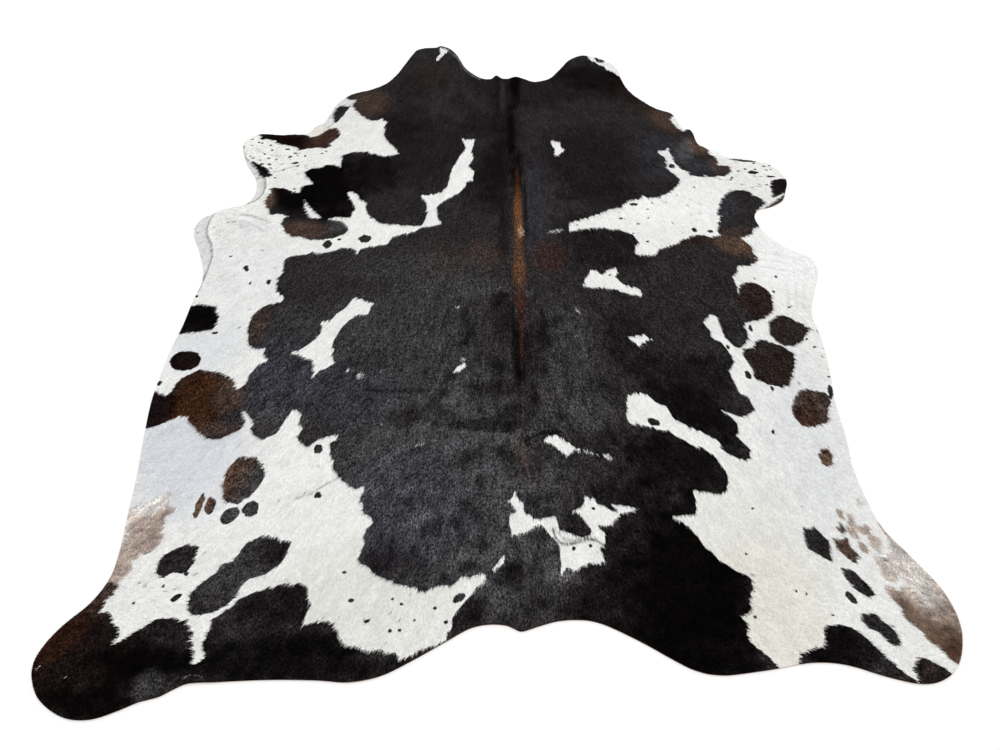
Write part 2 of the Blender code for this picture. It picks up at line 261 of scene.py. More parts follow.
WHITE_ISLANDS = (
    patch("sliver in the left chest", -629, 355, -617, 333, -581, 288, -564, 272, -598, 272, -621, 310),
    patch("left flank channel", -431, -50, -410, -48, -393, -62, -368, -69, -379, -86, -383, -107,
          -412, -110, -431, -124, -448, -148, -469, -195, -473, -219, -462, -233, -470, -252, -456, -276,
          -498, -305, -512, -326, -510, -300, -519, -267, -560, -247, -583, -245, -583, -231, -564, -236,
          -521, -195, -510, -171, -507, -148, -514, -136, -483, -126, -474, -107, -455, -93, -440, -71),
    patch("left neck lobe", -234, 1160, -217, 1155, -196, 1136, -224, 1107, -234, 1077, -244, 1086,
          -230, 1121),
    patch("right neck lobe", 310, 1125, 326, 1086, 351, 1064, 359, 1052, 375, 1045, 385, 1024, 401, 1017,
          425, 986, 450, 990, 430, 1070, 370, 1120),
    patch("spot by the right neck", 164, 635, 196, 624, 199, 599, 210, 589, 188, 560, 172, 563, 178, 589,
          167, 611),
    patch("right flank island", 235, -2, 256, 47, 268, 58, 283, 54, 289, 39, 304, 46, 315, 61, 336, 67,
          342, 50, 331, 31, 347, 9, 373, -6, 400, -16, 408, -48, 383, -36, 324, -16, 290, -9, 258, -8),
    patch("right flank small island", 349, -188, 399, -180, 409, -193, 430, -200, 404, -198, 375, -221,
          366, -205),
    patch("rump island", 100, -514, 135, -496, 150, -510, 200, -543, 180, -546, 165, -558, 130, -530),
    patch("left back wedge", -104, -272, -100, -284, -113, -300, -136, -308, -123, -289),
    patch("tail island", 30, -655, 47, -687, 51, -711, 75, -725, 94, -727, 126, -721, 135, -752, 147, -761,
          181, -772, 198, -770, 209, -761, 208, -750, 182, -715, 162, -707, 194, -690, 198, -667, 225, -675,
          225, -687, 276, -711, 274, -699, 260, -689, 329, -701, 280, -714, 277, -725, 253, -745, 224, -742,
          229, -754, 241, -763, 240, -793, 228, -800, 240, -833, 185, -839, 168, -854, 147, -849, 131, -866,
          134, -832, 130, -788, 116, -775, 94, -744, 82, -742, 70, -752, 21, -771, 15, -734, 17, -714,
          28, -715, 32, -704, 11, -680, 23, -673),
    patch("wisp by the tail", 5, -816, -30, -853, -23, -855, 2, -834),
)

# Dark patches that lie over the white ones
DARK_OVER_ISLANDS = (
    patch("right neck lobe spot", 340, 1102, 359, 1093, 380, 1079, 375, 1069, 351, 1074),
)

# Patches of faded hair among the white, from taupe to brown
FADED_PATCHES = (
    patch("left thigh", -935, -708, -882, -690, -813, -653, -808, -695, -790, -698, -790, -711, -806, -724,
          -807, -749, -815, -766, -806, -761, -801, -791, -835, -816, -851, -811, -851, -828, -864, -830,
          -856, -851, -878, -882, -878, -898, -901, -921, -913, -948, -980, -950, -960, -800),
    patch("right thigh fleck, upper", 861, -672, 872, -674, 872, -693, 861, -698),
    patch("right thigh fleck, inner", 806, -704, 818, -706, 820, -728, 809, -724),
    patch("right thigh fleck, dark", 803, -734, 814, -741, 820, -759, 808, -766, 798, -756),
    patch("right thigh streak, one", 827, -716, 839, -716, 844, -736, 836, -752, 825, -744),
    patch("right thigh streak, two", 819, -749, 834, -749, 844, -769, 842, -783, 825, -774),
    patch("right thigh streak, three", 835, -742, 873, -745, 880, -756, 872, -767, 856, -772),
    patch("right thigh streak, four", 837, -784, 851, -781, 861, -801, 857, -818, 841, -811, 835, -799),
    patch("right thigh streak, five", 862, -764, 878, -767, 894, -781, 896, -794, 886, -801, 888, -818,
          873, -814, 865, -791),
    patch("right thigh, along the rim", 897, -738, 909, -786, 900, -801, 913, -806, 895, -818, 865, -818,
          870, -858, 879, -875, 897, -884, 907, -868, 950, -904, 934, -894, 918, -890, 899, -902, 890, -892,
          872, -892, 879, -925, 892, -943, 896, -965, 931, -998, 932, -1008, 950, -1021, 964, -1046,
          981, -1061, 1035, -1070, 1060, -960, 1040, -860, 960, -760),
)

FADED_SHADES = (
    *toned(Tone.WHITE, (-92.0, -76.0, 3.6, 6.0, 0.7), (-86.0, -68.5, 8.0, 3.4, 0.75, 20.0)),
    *toned(Tone.BROWN, (-84.0, -79.0, 3.5, 4.5, 0.3), (-90.0, -92.5, 4.0, 6.0, 0.6, 25.0)),
    *toned(Tone.OLIVE, (-95.0, -96.0, 6.0, 5.0, 0.85)),
    *toned(Tone.WHITE, (93.0, -84.0, 6.0, 8.0, 0.45, 25.0)),
    *toned(Tone.TAN, (98.5, -96.0, 5.0, 7.0, 0.45), (92.3, -97.3, 4.0, 9.5, 0.88, 31.0),
           (98.0, -102.0, 5.0, 6.0, 0.85, -40.0)),
    *toned(Tone.WHITE, (96.0, -90.5, 4.0, 4.5, 0.35)),
    *toned(Tone.RUST, (98.5, -104.5, 5.0, 4.0, 0.75, -30.0)),
    *toned(Tone.UMBER, (80.9, -75.0, 2.0, 2.4, 0.85)),
    *toned(Tone.BROWN, (81.2, -71.4, 1.4, 2.0, 0.45)),
    *toned(Tone.WHITE, (86.5, -68.5, 1.5, 2.0, 0.35)),
)

# The low strips beyond the folds' crests, greyed partly where the hair is thin and the skin shows through,
# partly as painted shade
FLAPS = (
    patch("left shoulder flap", -490, 875, -514, 847, -538, 803, -552, 762, -576, 718, -601, 689, -640, 730,
          -660, 800, -600, 900, -520, 950),
    patch("left fore leg flap", -870, 586, -856, 549, -802, 488, -772, 446, -761, 400, -765, 367, -779, 346,
          -805, 332, -860, 310, -880, 400, -920, 520),
    patch("left elbow flap", -900, 295, -907, 265, -910, 225, -904, 190, -883, 150, -870, 105, -873, 60,
          -886, -30, -930, -30, -970, 100, -1000, 220, -960, 330),
)

PAINTED_CREASE_LIGHT = (
    # painted shade along the steep outer side of each crest; the right fore leg's and the left neck lobe's
    # crests get a painted highlight
    Crease("left shoulder", points(-601, 689, -576, 718, -552, 762, -538, 803,
           -516, 844), 0.3, Tone.COAT, 0.5),
    Crease("left fore leg", points(-805, 332, -779, 346, -765, 367, -761, 400, -772, 446, -802, 488,
           -830, 517, -856, 549, -870, 586, -869, 605), 0.3, Tone.COAT, 0.75),
    Crease("left elbow", points(-900, 292, -907, 265, -910, 225, -904, 190, -883, 150, -870, 105, -873, 60,
           -879, 15, -886, -26), 0.3, Tone.COAT, 0.7),
    Crease("right fore leg crest", points(815, 309, 851, 331, 902, 376), 0.28, Tone.WHITE, 0.95),
    Crease("left neck lobe crest", points(-225, 1150, -194, 1126, -169, 1094, -152, 1056, -134, 1016,
           -105, 984, -80, 966), 0.3, Tone.SHEEN_SILVER, 0.85),
    # painted shade along the wrinkles in the white hair
    Crease("left elbow wrinkle, front", points(-818, 282, -785, 276, -752, 264,
           -720, 250), 0.35, Tone.GREY, 0.4),
    Crease("left elbow wrinkle, back", points(-810, 254, -775, 239, -738, 212), 0.6, Tone.GREY_SHADE, 0.45),
    Crease("left elbow wrinkle, low", points(-860, 266, -820, 244, -780, 216), 0.7, Tone.GREY_SHADE, 0.3),
    Crease("left thigh line", points(-507, -677, -473, -664, -439, -640, -404, -618), 0.22, Tone.GREY, 0.55),
    Crease("left fore leg line", points(-745, 475, -700, 500, -660, 518), 0.3, Tone.GREY, 0.3),
    Crease("right elbow ripple, one", points(765, 130, 805, 124, 845, 116), 0.28, Tone.GREY_SHADE, 0.4),
    Crease("right elbow ripple, two", points(760, 102, 805, 96, 850, 84), 0.28, Tone.GREY_SHADE, 0.35),
    Crease("right elbow ripple, three", points(770, 70, 820, 60, 870, 46), 0.28, Tone.GREY_SHADE, 0.35),
    Crease("right rim ripple, one", points(835, 5, 828, -45, 816, -95), 0.28, Tone.GREY_SHADE, 0.35),
    Crease("right rim ripple, two", points(860, 8, 852, -45, 840, -100), 0.28, Tone.GREY_SHADE, 0.35),
    Crease("right rim ripple, three", points(884, 6, 874, -46, 862, -96), 0.28, Tone.GREY_SHADE, 0.35),
    # painted shade and highlight along creases over the dark back
    Crease("across the loin", points(-370, -364, -300, -369, -200, -366), 0.8, Tone.BLACK, 0.6),
    Crease("across the rump", points(-200, -472, -162, -482, -84, -496, -7, -502,
           44, -499), 0.6, Tone.SHEEN_SILVER, 0.14),
    Crease("across the neck", points(-220, 732, -110, 704, -7, 683), 1.1, Tone.BLACK, 0.25),
    Crease("across the right neck", points(64, 821, 204, 799, 344, 788, 465, 778), 0.45, Tone.SOOT, 0.45),
    Crease("seam of the tail island", points(119, -754, 125, -776, 137, -789, 154, -792, 176, -786,
           202, -779, 216, -780, 235, -792), 0.27, Tone.SOOT, 0.95),
    Crease("seam of the tail island, its fringe", points(130, -760, 142, -778, 165, -782,
           180, -778), 0.18, Tone.COAT, 0.6),
    Crease("by the tail, dark", points(60, -514, 105, -493, 147, -492), 0.7, Tone.BLACK, 0.75),
    Crease("left rump curl", points(-684, -1090, -672, -1083, -654, -1083,
           -640, -1090), 0.16, Tone.SHEEN_SILVER, 0.55),
)

DARK_SPOTS = tuple(Spot(*row) for row in (
    # left fore leg
    (-83.7, 55, 0.5, 0.25), (-81.9, 51.4, 0.5, 0.4), (-79.1, 51, 0.7, 0.5),
    (-76.8, 51.3, 0.7, 0.45), (-72.1, 59, 1, 0.35), (-69.2, 57, 0.6, 0.35),
    (-68.4, 56.1, 0.4, 0.2), (-70.6, 55.2, 0.7, 0.5), (-65.7, 55.7, 0.4, 0.4),
    (-68.3, 52.2, 1.4, 0.5, 10), (-79.3, 56.6), (-77.1, 58.5), (-77.6, 54.5),
    (-75.1, 54), (-82.6, 54), (-80.2, 53.1), (-76, 49.3), (-71.9, 48.8),
    (-73.8, 44.5), (-66.9, 40, 0.5, 0.3), (-60.2, 56.9), (-59, 58),
    (-67.4, 50.7), (-84.8, 64, 0.6, 0.25), (-84.4, 61, 0.5, 0.2),
    (-81, 64.5, 1.2, 0.7), (-82.3, 62.5), (-81, 62), (-78, 61),
    # left side
    (-86.7, -26.9, 4.2, 3.3), (-42.1, 18.3, 1.9, 1.6), (-53.3, 16, 1.4, 1.7),
    (-49.9, 18, 0.6, 0.5), (-76.2, 6.4, 0.8, 1.2, 15), (-68.6, 1, 0.6, 0.9),
    (-74, 0.5, 0.35, 0.6), (-81.7, 10.9), (-41, 27.1), (-88.6, -4.3, 0.5, 0.5),
    (-80.5, -17.5, 0.9, 0.35), (-92, -34.3, 0.5, 0.9), (-46.8, -53.9, 1.1, 1.3, -20),
    (-45.2, -66.6, 0.9, 0.9), (-65.7, -71.9, 1.8, 2.4, -35),
    (-61, -70.2, 2, 2.1, -30), (-74.1, -91.7, 1.1, 0.6, 35),
    (-72.9, -86.2, 0.4, 0.5), (-77.5, -89, 0.25, 0.4, -20), (-83.3, -92.9),
    (-36.6, -85.8), (-34.2, -92.3, 0.9, 0.45), (-25, -92, 0.5, 0.25),
    (-30.3, -96.9, 0.7, 0.35, 20), (-25, -99), (-22.9, -98.9),
    (-15.4, -94), (-19.7, -96.7), (-12.8, -97.1), (-22.8, -93.1),
    (-9.9, -91.7, 1.7, 0.8, 25),
    (-73.6, -69, 0.9, 3.4, -5), (-71.1, -69.5, 1.3, 2.2),
    # right fore leg
    (82.3, 47.7, 1.8, 0.8), (83, 49.1, 0.5, 0.3), (77.5, 48.4, 0.6, 0.3),
    (87.6, 45.7, 1.4, 0.4), (86.3, 50.7, 0.6, 0.3), (88.2, 51, 0.5, 0.25),
    (88.3, 49.1, 0.4, 0.2), (86.9, 48.8), (85.6, 41.8, 0.5, 0.3), (74.9, 45.3),
    (74.4, 44.3), (79.9, 49.3), (83.2, 52.1), (62, 40.8),
    (55.9, 50.7, 1, 1.2), (80, 53.4, 4.2, 0.5, -8),
    # white band below the right chest
    (41.6, 33, 1.3, 0.6), (45.9, 30.9, 0.5, 0.25), (37, 26.8, 0.6, 0.4),
    (42.2, 24.5, 0.5, 0.35), (45.6, 27), (44.4, 17.1, 0.45, 0.45),
    (59.4, 22, 0.8, 1), (64.2, 21.4, 1, 0.6), (40.4, 20.5),
    (80.8, 3.1, 0.45, 0.5), (74.2, 2.3, 0.3, 0.4),
    # right flank and belly
    (69.8, -15.8, 0.5, 1.2), (62.4, -22.3, 0.4, 0.7), (66.2, -31.5, 0.8, 1.3, 10),
    (71.9, -36, 0.4, 0.8), (79, -2.6, 0.35, 0.5), (82.3, -8.3),
    (84.8, -19.6, 0.4, 0.4), (86.3, -22.3, 0.5, 0.3), (88, -32),
    (87.2, -37.1, 0.7, 2.2, -8), (69.6, -49, 0.4, 0.7), (39.2, -46.1, 1.6, 1.1, -25),
    # right thigh
    (66.6, -90.2, 0.25, 0.4, 30), (68.8, -90.9, 0.25, 0.4), (73.7, -95.6, 0.4, 0.3),
    (60.4, -70.1),
    (56.2, -96), (56.8, -81.5), (78.8, -91.8, 0.9, 1.6, 40),
    # inside the white islands of the chest, the back and the tail
    (-23.5, 37.3, 0.5, 0.4), (23.2, 24.1, 0.25, 0.25), (31.9, 3.7, 0.5, 0.35),
    (16.6, -80.2, 0.5, 0.5), (20.6, -79.5, 0.4, 0.4), (22, -70.1),
))

# Small pale flecks in the dark, each with the share of its hairs that are white
WHITE_SPOTS = (
    (Spot(26.5, -56.3, 1.2, 0.6, -35), 1), (Spot(21.5, -9.5, 0.4, 1.2, 20), 0.6),
    (Spot(-41.9, -30.1, 0.4, 0.4), 1), (Spot(-38.4, -31.9, 0.9, 0.9), 0.8),
    (Spot(-21, -52.7, 1, 0.35, 15), 0.6), (Spot(-13, -8.5, 1, 0.3), 0.6),
    (Spot(16.6, 21.4, 2.4, 0.7, 12), 0.45), (Spot(22.5, -55.2, 2.6, 0.25, -17), 0.6),
    (Spot(-4.9, -87.4, 0.5, 1.3, 20), 0.7), (Spot(-100, -106.6, 0.9, 0.16, 45), 0.2),
    (Spot(-93.4, -108.6, 0.4, 0.15, 40), 0.2),
    (Spot(-10.9, -26.6, 0.8, 0.8), 0.35), (Spot(6, 20.8, 0.9, 2.2), 0.12),
)

# Where single dark locks are strewn among the white, with the share of them
SPECKLED = (
    (Spot(-76, 52, 14, 8), 0.025), (Spot(-84, 40, 7, 16), 0.015),
    (Spot(-91, 14, 7, 18), 0.008), (Spot(-76, -2, 10, 18), 0.004),
    (Spot(-16, 46, 7, 14), 0.012), (Spot(-60, 78, 7, 9), 0.020),
    (Spot(55, 28, 20, 11), 0.008), (Spot(80, 46, 10, 9), 0.016),
    (Spot(84, -25, 6, 22), 0.006), (Spot(-72, -88, 14, 8), 0.006),
    (Spot(-28, -96, 18, 7), 0.006), (Spot(68, -80, 12, 18), 0.002),
    (Spot(-60, -55, 20, 14), 0.001), (Spot(95, -90, 12, 16), 0.004),
    (Spot(-90, -78, 8, 12), 0.010),
)

DARK_SHADES = (
    # the lighter, cooler back and rump: partly grey hair, partly painted sheen
    *toned(Tone.GREY, (-16, -60, 32, 32, 0.97), (-30, -18, 28, 17, 0.6),
           (-25, 6, 24, 7, 0.35), (-14, -1.5, 20, 5, 0.6), (17, -24, 11, 22, 0.5),
           (22, -43, 9, 7, 0.55), (-60, -14, 8, 8, 0.35)),
    *toned(Tone.STEEL, (-60, -32, 15, 13, 0.75)),
    *toned(Tone.SHEEN_SILVER, (-58, -46, 9, 5, 0.16)),
    *toned(Tone.STEEL, (-42, -38, 16, 10, 0.35), (-24, -70, 15, 15, 0.62)),
    *toned(Tone.SHEEN_SILVER, (-18, -73, 7, 4, 0.18), (-8, -84, 5, 4, 0.3),
           (-7, -32, 4, 2.4, 0.16), (1, -52, 3, 2.4, 0.5), (15, -60, 5, 4, 0.12)),
    *toned(Tone.GREY, (15, -44, 6, 5, 0.55), (2, -66, 3, 3, 0.5)),
    *toned(Tone.STEEL, (11, 34, 5, 34, 0.25), (52, 56, 12, 12, 0.45),
           (67, 50.5, 7, 4, 0.5), (70, 32, 6, 8, 0.4)),
    *toned(Tone.GREY, (3, -86, 15, 11, 0.97), (10, -77, 3, 6, 0.5)),
    *toned(Tone.SHEEN_SILVER, (15, -86.5, 4, 2.5, 0.35)),
    *toned(Tone.GREY, (-48, 12, 30, 12, 0.12)),
    # darker over the neck, the chest and the far flank
    *toned(Tone.SOOT, (-26, 58, 22, 20, 0.55), (12, 94, 24, 14, 0.6),
           (1, 76, 6, 30, 0.85)),
    *toned(Tone.INK, (-3, 48, 5.5, 16, 0.75)),
    *toned(Tone.SOOT, (30, 55, 22, 18, 0.65), (32, 14, 16, 11, 0.7),
           (28, 24, 14, 5, 0.5), (34, 38, 15, 6, 0.6), (36, 89, 9, 5, 0.6),
           (-32, 93, 9, 8, 0.45), (-8, 72, 6, 10, 0.55), (-9, 40, 5, 10, 0.55),
           (-3.5, 34, 4, 8, 0.6), (-16, 84, 5, 6, 0.45), (-42, -98, 5, 3, 0.8),
           (6, -40.5, 4, 4.5, 0.6), (46, -16, 18, 16, 0.15), (34, -18, 8, 10, 0.7),
           (40, -29, 8, 7, 0.85)),
    *toned(Tone.INK, (55, -33, 9, 9, 0.6, 10), (50, -42.5, 16, 7, 0.9, -30),
           (44, -57, 18, 11, 0.85, -6), (34, -68, 12, 6, 0.55)),
    *toned(Tone.SOOT, (26, -64, 7, 5, 0.35), (-27, -83, 9, 4.6, 0.7)),
    *toned(Tone.GREY, (-60, -86, 12, 8, 0.45, 40)),
    *toned(Tone.SOOT, (-53, -81, 5, 4, 0.75), (-50, -94, 9, 4, 0.6)),
    *toned(Tone.INK, (6, -93.5, 4.5, 3, 0.6)),
    *toned(Tone.SOOT, (-9, -71, 3, 4, 0.55), (-8, -57, 4, 4, 0.4),
           (-26, -45, 5, 3.6, 0.7)),
    *toned(Tone.BLACK, (52, -87, 6, 8, 0.85)),
    *toned(Tone.SOOT, (-75, -83, 6, 5, 0.25), (-50, -93.5, 15, 6, 0.75)),
    *toned(Tone.GREY, (-57, -101.5, 10, 2, 0.22)),
    *toned(Tone.SOOT, (-74, -99, 11, 6, 0.55), (66, -100, 9, 7, 0.6)),
    # the blackest hair
    *toned(Tone.BLACK, (-58, 42, 15, 17, 0.97), (-66, 34, 7, 7, 0.9),
           (-79, 48.5, 6, 5, 0.9)),
    *toned(Tone.INK, (-50, 32, 7, 5, 0.75), (-42, 47, 10, 12, 0.75)),
    *toned(Tone.SOOT, (24, -84, 12, 16, 0.7)),
    *toned(Tone.BLACK, (42, -88, 17, 25, 0.97), (38, -100, 27, 8, 0.85),
           (-42, -102, 26, 3, 0.85), (-52, -106.5, 34, 4.6, 0.85)),
    *toned(Tone.MAROON, (-93, -106, 18, 15, 0.84, 10)),
    *toned(Tone.BLACK, (-86, -114.5, 14, 4, 0.85, -6), (-78, -105, 13, 3.6, 0.9)),
    *toned(Tone.GREY, (-75.6, -110.4, 3.2, 3.4, 0.48)),
    *toned(Tone.BLACK, (-82.5, -110, 4, 5, 0.8), (-85, -12, 10, 9, 0.97)),
    *toned(Tone.MAROON, (-86.7, -27, 7, 6, 0.85)),
    *toned(Tone.BLACK, (73, -102, 9, 8, 0.8), (48, -106.5, 10, 3.4, 0.8)),
    *toned(Tone.UMBER, (90, -107.5, 6, 4, 0.5)),
    *toned(Tone.BLACK, (32, 99, 13, 9, 0.75)),
    *toned(Tone.MAROON, (44, 92, 9, 10, 0.7, 35)),
    # along the spine
    *toned(Tone.BLACK, (4.6, 98, 2.3, 18, 0.97, 1), (3, 66, 1.6, 18, 0.85),
           (4.8, 48, 2.4, 12, 0.85), (7.4, 32, 0.7, 16, 0.65)),
    *toned(Tone.SOOT, (0.6, 40, 2.4, 30, 0.45), (0.4, 22, 2.2, 10, 0.6)),
    *toned(Tone.INK, (0, -3.8, 3.2, 1.6, 0.8)),
    *toned(Tone.SOOT, (0.2, -12, 2.9, 10, 0.6)),
    *toned(Tone.INK, (3, -12, 0.7, 10, 0.6), (11.5, -17.5, 2.6, 8, 0.7, 4)),
    *toned(Tone.SOOT, (8.2, -24, 2.2, 11, 0.7)),
    *toned(Tone.INK, (11.5, -27, 2, 5, 0.6), (4.8, -25, 2.6, 13, 0.88)),
    *toned(Tone.SOOT, (0, -36, 9, 3, 0.65)),
    *toned(Tone.INK, (1.5, -44.5, 4, 4.5, 0.6)),
    *toned(Tone.SOOT, (1, -55, 3.6, 4.5, 0.65), (2.5, -60.5, 3.4, 3, 0.6)),
    *toned(Tone.INK, (-9.5, -15, 1.8, 6.5, 0.55, 10)),
    *toned(Tone.SOOT, (-34, -27, 12, 2.6, 0.25), (-18, -43.5, 8, 3.6, 0.55, -10)),
    *toned(Tone.INK, (-6, -47.2, 14, 2.4, 0.7)),
    *toned(Tone.SOOT, (9, -56, 4, 5, 0.55), (2.6, -86.5, 3, 4.4, 0.9),
           (8.5, -91, 3, 3.6, 0.6), (-7.5, -94.8, 5, 3.6, 0.85, 30),
           (16, -92, 5, 4, 0.45)),
    # browns
    *toned(Tone.TAN, (-46.5, 83, 7.5, 8, 0.45)),
    *toned(Tone.MAROON, (-36, 72, 9, 14, 0.4)),
    *toned(Tone.UMBER, (-26, 100, 8, 9, 0.45)),
    *toned(Tone.BROWN, (-62.5, 21.5, 9, 4.4, 0.95)),
    *toned(Tone.BLACK, (-53, 28, 9, 2.4, 0.85)),
    *toned(Tone.GREY, (-50, 23.5, 5, 3.6, 0.6)),
    *toned(Tone.TAN, (-74.6, 35.5, 3, 5, 0.95)),
    *toned(Tone.BLACK, (-71, 38.5, 2.2, 5, 0.85)),
    *toned(Tone.CHESTNUT, (-81, -40, 9, 12, 0.92), (-78, -34.5, 4, 3, 0.8, 10)),
    *toned(Tone.MAROON, (-91, -42, 6, 7.5, 0.85)),
    *toned(Tone.BROWN, (-72.5, -37.5, 5, 6, 0.85), (-76, -49, 12, 3, 0.45)),
    *toned(Tone.TAN, (-61, 65, 6, 5, 0.45)),
    *toned(Tone.RUST, (-60, 65, 6, 5, 0.55)),
    *toned(Tone.CHESTNUT, (-66, 61, 4, 3, 0.7)),
    *toned(Tone.MAROON, (-74, 63, 11, 5, 0.97)),
    *toned(Tone.BROWN, (-67, -62, 6, 8, 1)),
    *toned(Tone.TAN, (-69.5, -61.5, 2.2, 7, 0.8)),
    *toned(Tone.GREY, (-61.5, -64, 4, 6, 0.7, -20), (-64, -71, 6, 4, 0.95)),
    *toned(Tone.TAN, (-73, -69, 3, 5, 0.95)),
    *toned(Tone.BROWN, (-90, -91, 5, 6, 0.6, 30)),
    *toned(Tone.OLIVE, (-98, -99, 6, 10, 0.55, -35)),
    *toned(Tone.TAN, (56.5, 74, 10, 5, 0.5, -45)),
    *toned(Tone.UMBER, (49, 84, 11, 6, 0.6, -40)),
    # the right shoulder's fold ridge: its tan and silver are partly painted sheen
    *toned(Tone.TAN, (66.5, 60.5, 5, 4.5, 0.85)),
    *toned(Tone.SHEEN_SILVER, (61.5, 58, 3.4, 6, 0.25, -20)),
    *toned(Tone.BROWN, (72, 51, 4.5, 4.5, 0.6)),
    *toned(Tone.MAROON, (90, 41, 5, 7, 0.6)),
    *toned(Tone.BROWN, (72, 21.8, 6, 1.8, 0.4, 10)),
    *toned(Tone.UMBER, (60, 18.5, 10, 3.4, 0.6)),
    # the tan over the right chest patch is partly painted sheen
    *toned(Tone.TAN, (69.5, 16, 5.5, 4, 0.8, -25), (75, 15, 3.4, 6, 0.8, 15)),
    *toned(Tone.UMBER, (75, -5, 8, 9, 0.95), (80, -16, 6, 7, 0.6),
           (73, -29, 9, 9, 0.75)),
    *toned(Tone.BROWN, (81, -42, 7, 8, 0.65)),
    *toned(Tone.CHESTNUT, (78.5, -45, 4, 4, 0.6)),
    *toned(Tone.TAN, (81, -56, 4, 4, 0.9)),
    *toned(Tone.BROWN, (80.5, -79, 4, 5, 1), (-5.5, 12, 6, 6.5, 0.32),
           (-17, 9, 8, 9, 0.16)),
    *toned(Tone.RUST, (14, 11, 6, 7, 0.45)),
    *toned(Tone.BROWN, (-69, -14, 3.5, 8, 0.4)),
    # the ginger stripe along the spine
    *toned(Tone.CHESTNUT, (4.9, 38, 1, 13, 1)),
    *toned(Tone.GINGER, (5, 27, 1.5, 13, 0.62), (5, 13, 1.9, 11, 0.28),
           (5, 5, 2.2, 7.5, 0.4)),
    *toned(Tone.GREY, (6, -3.4, 3, 1.3, 0.7)),
    *toned(Tone.RUST, (5.2, -5.6, 2, 4.6, 0.85), (5.3, -11, 1.1, 5, 0.7)),
    *toned(Tone.SAND, (5.6, 21.5, 0.9, 3, 0.6)),
    *toned(Tone.RUST, (5.3, -18, 0.7, 12, 0.5)),
    *toned(Tone.BROWN, (5.3, -40, 0.4, 14, 0.3), (5.5, -57, 2.2, 8, 0.3, 12)),
    *toned(Tone.STEEL, (0.3, 87, 1.2, 10, 0.4)),
)

PALE_SHADES = (
    *toned(Tone.COOL, (-80, -56, 17, 18, 0.8), (-75, 6, 18, 22, 0.15),
           (78, -50, 12, 34, 0.3)),
    *toned(Tone.CREAM, (60, -93, 13, 17, 0.85)),
    *toned(Tone.IVORY, (58, -84, 18, 28, 0.5)),
    *toned(Tone.CREAM, (-63, 69, 4, 4, 0.9)),
    *toned(Tone.COOL, (-82, -22, 12, 12, 0.45)),
    *toned(Tone.SNOW, (86, 10, 13, 14, 0.85), (60, 32, 22, 10, 0.6),
           (71, 57, 8, 4, 0.9)),
    *toned(Tone.IVORY, (-30, -91, 24, 13, 0.85)),
)


# ---------------------------------------------------------------- plan fields and noise


def s_curve(share: Array) -> Array:
    """Ease an even rise from 0 to 1 at both its ends."""
    return share * share * (3.0 - 2.0 * share)


def soft_step(low: float, high: float, value: Array) -> Array:
    """Rise smoothly from 0, where the value is low, to 1, where it is high."""
    return s_curve(np.clip((value - low) / (high - low), 0.0, 1.0))


def stack(*columns: Array) -> Array:
    """Put columns side by side, so that each row holds one point."""
    return np.column_stack(columns)


def between(table: Array, rows: tuple[Array, ...], columns: tuple[Array, ...],
            down: Array, right: Array) -> Array:
    """Read a table between two rows and two columns, by the shares of the way down and right."""
    near, far = (table[row, columns[0]] * (1.0 - right) + table[row, columns[1]] * right for row in rows)
    return near * (1.0 - down) + far * down


def beside(values: Array, **rim: object) -> Array:
    """Stack each point's four neighbours in a net whose rim is padded as told."""
    padded = np.pad(values, 1, **rim)
    return np.stack([padded[2:, 1:-1], padded[:-2, 1:-1], padded[1:-1, 2:], padded[1:-1, :-2]])


def off_segment(x: Array, y: Array, start: Array, end: Array) -> Array:
    """Measure how far plan points lie from a straight piece of a line.

    Args:
        x, y: Plan place of the points.
        start, end: The two ends of the piece.

    Returns:
        The distance of each point.
    """
    run = end - start
    dx = x - start[0]
    dy = y - start[1]
    share = np.clip((dx * run[0] + dy * run[1]) / max(run @ run, TINY), 0.0, 1.0)
    return np.hypot(dx - share * run[0], dy - share * run[1])


def oval(x: Array, y: Array, shape: Spot) -> Array:
    """Measure plan points against an oval.

    Args:
        x, y: Plan place of the points, in metres.
        shape: The oval.

    Returns:
        The distance from the centre as a share of the oval's half size that way: 1 on its line.
    """
    turn = math.radians(shape.turn)
    dx = x / CM - shape.x
    dy = y / CM - shape.y
    u = (dx * math.cos(turn) + dy * math.sin(turn)) / shape.across
    v = (dy * math.cos(turn) - dx * math.sin(turn)) / shape.along
    return np.hypot(u, v)


@dataclass
class PlanField:
    """One value at each point of an even square net over the plan, read smoothly between them."""

    STEPS_INSIDE = 1.001

    low: tuple[float, float]
    pitch: float
    values: Array

    def at(self, x: Array, y: Array) -> Array:
        """Read the field at plan points.

        Args:
            x, y: Plan place of the points, in metres.

        Returns:
            The field's value at each point.
        """
        rows, columns = (count - self.STEPS_INSIDE for count in self.values.shape)
        u = np.clip((x - self.low[0]) / self.pitch, 0.0, columns)
        v = np.clip((y - self.low[1]) / self.pitch, 0.0, rows)
        i, j = v.astype(int), u.astype(int)
        return between(self.values, (i, i + 1), (j, j + 1), v - i, u - j)


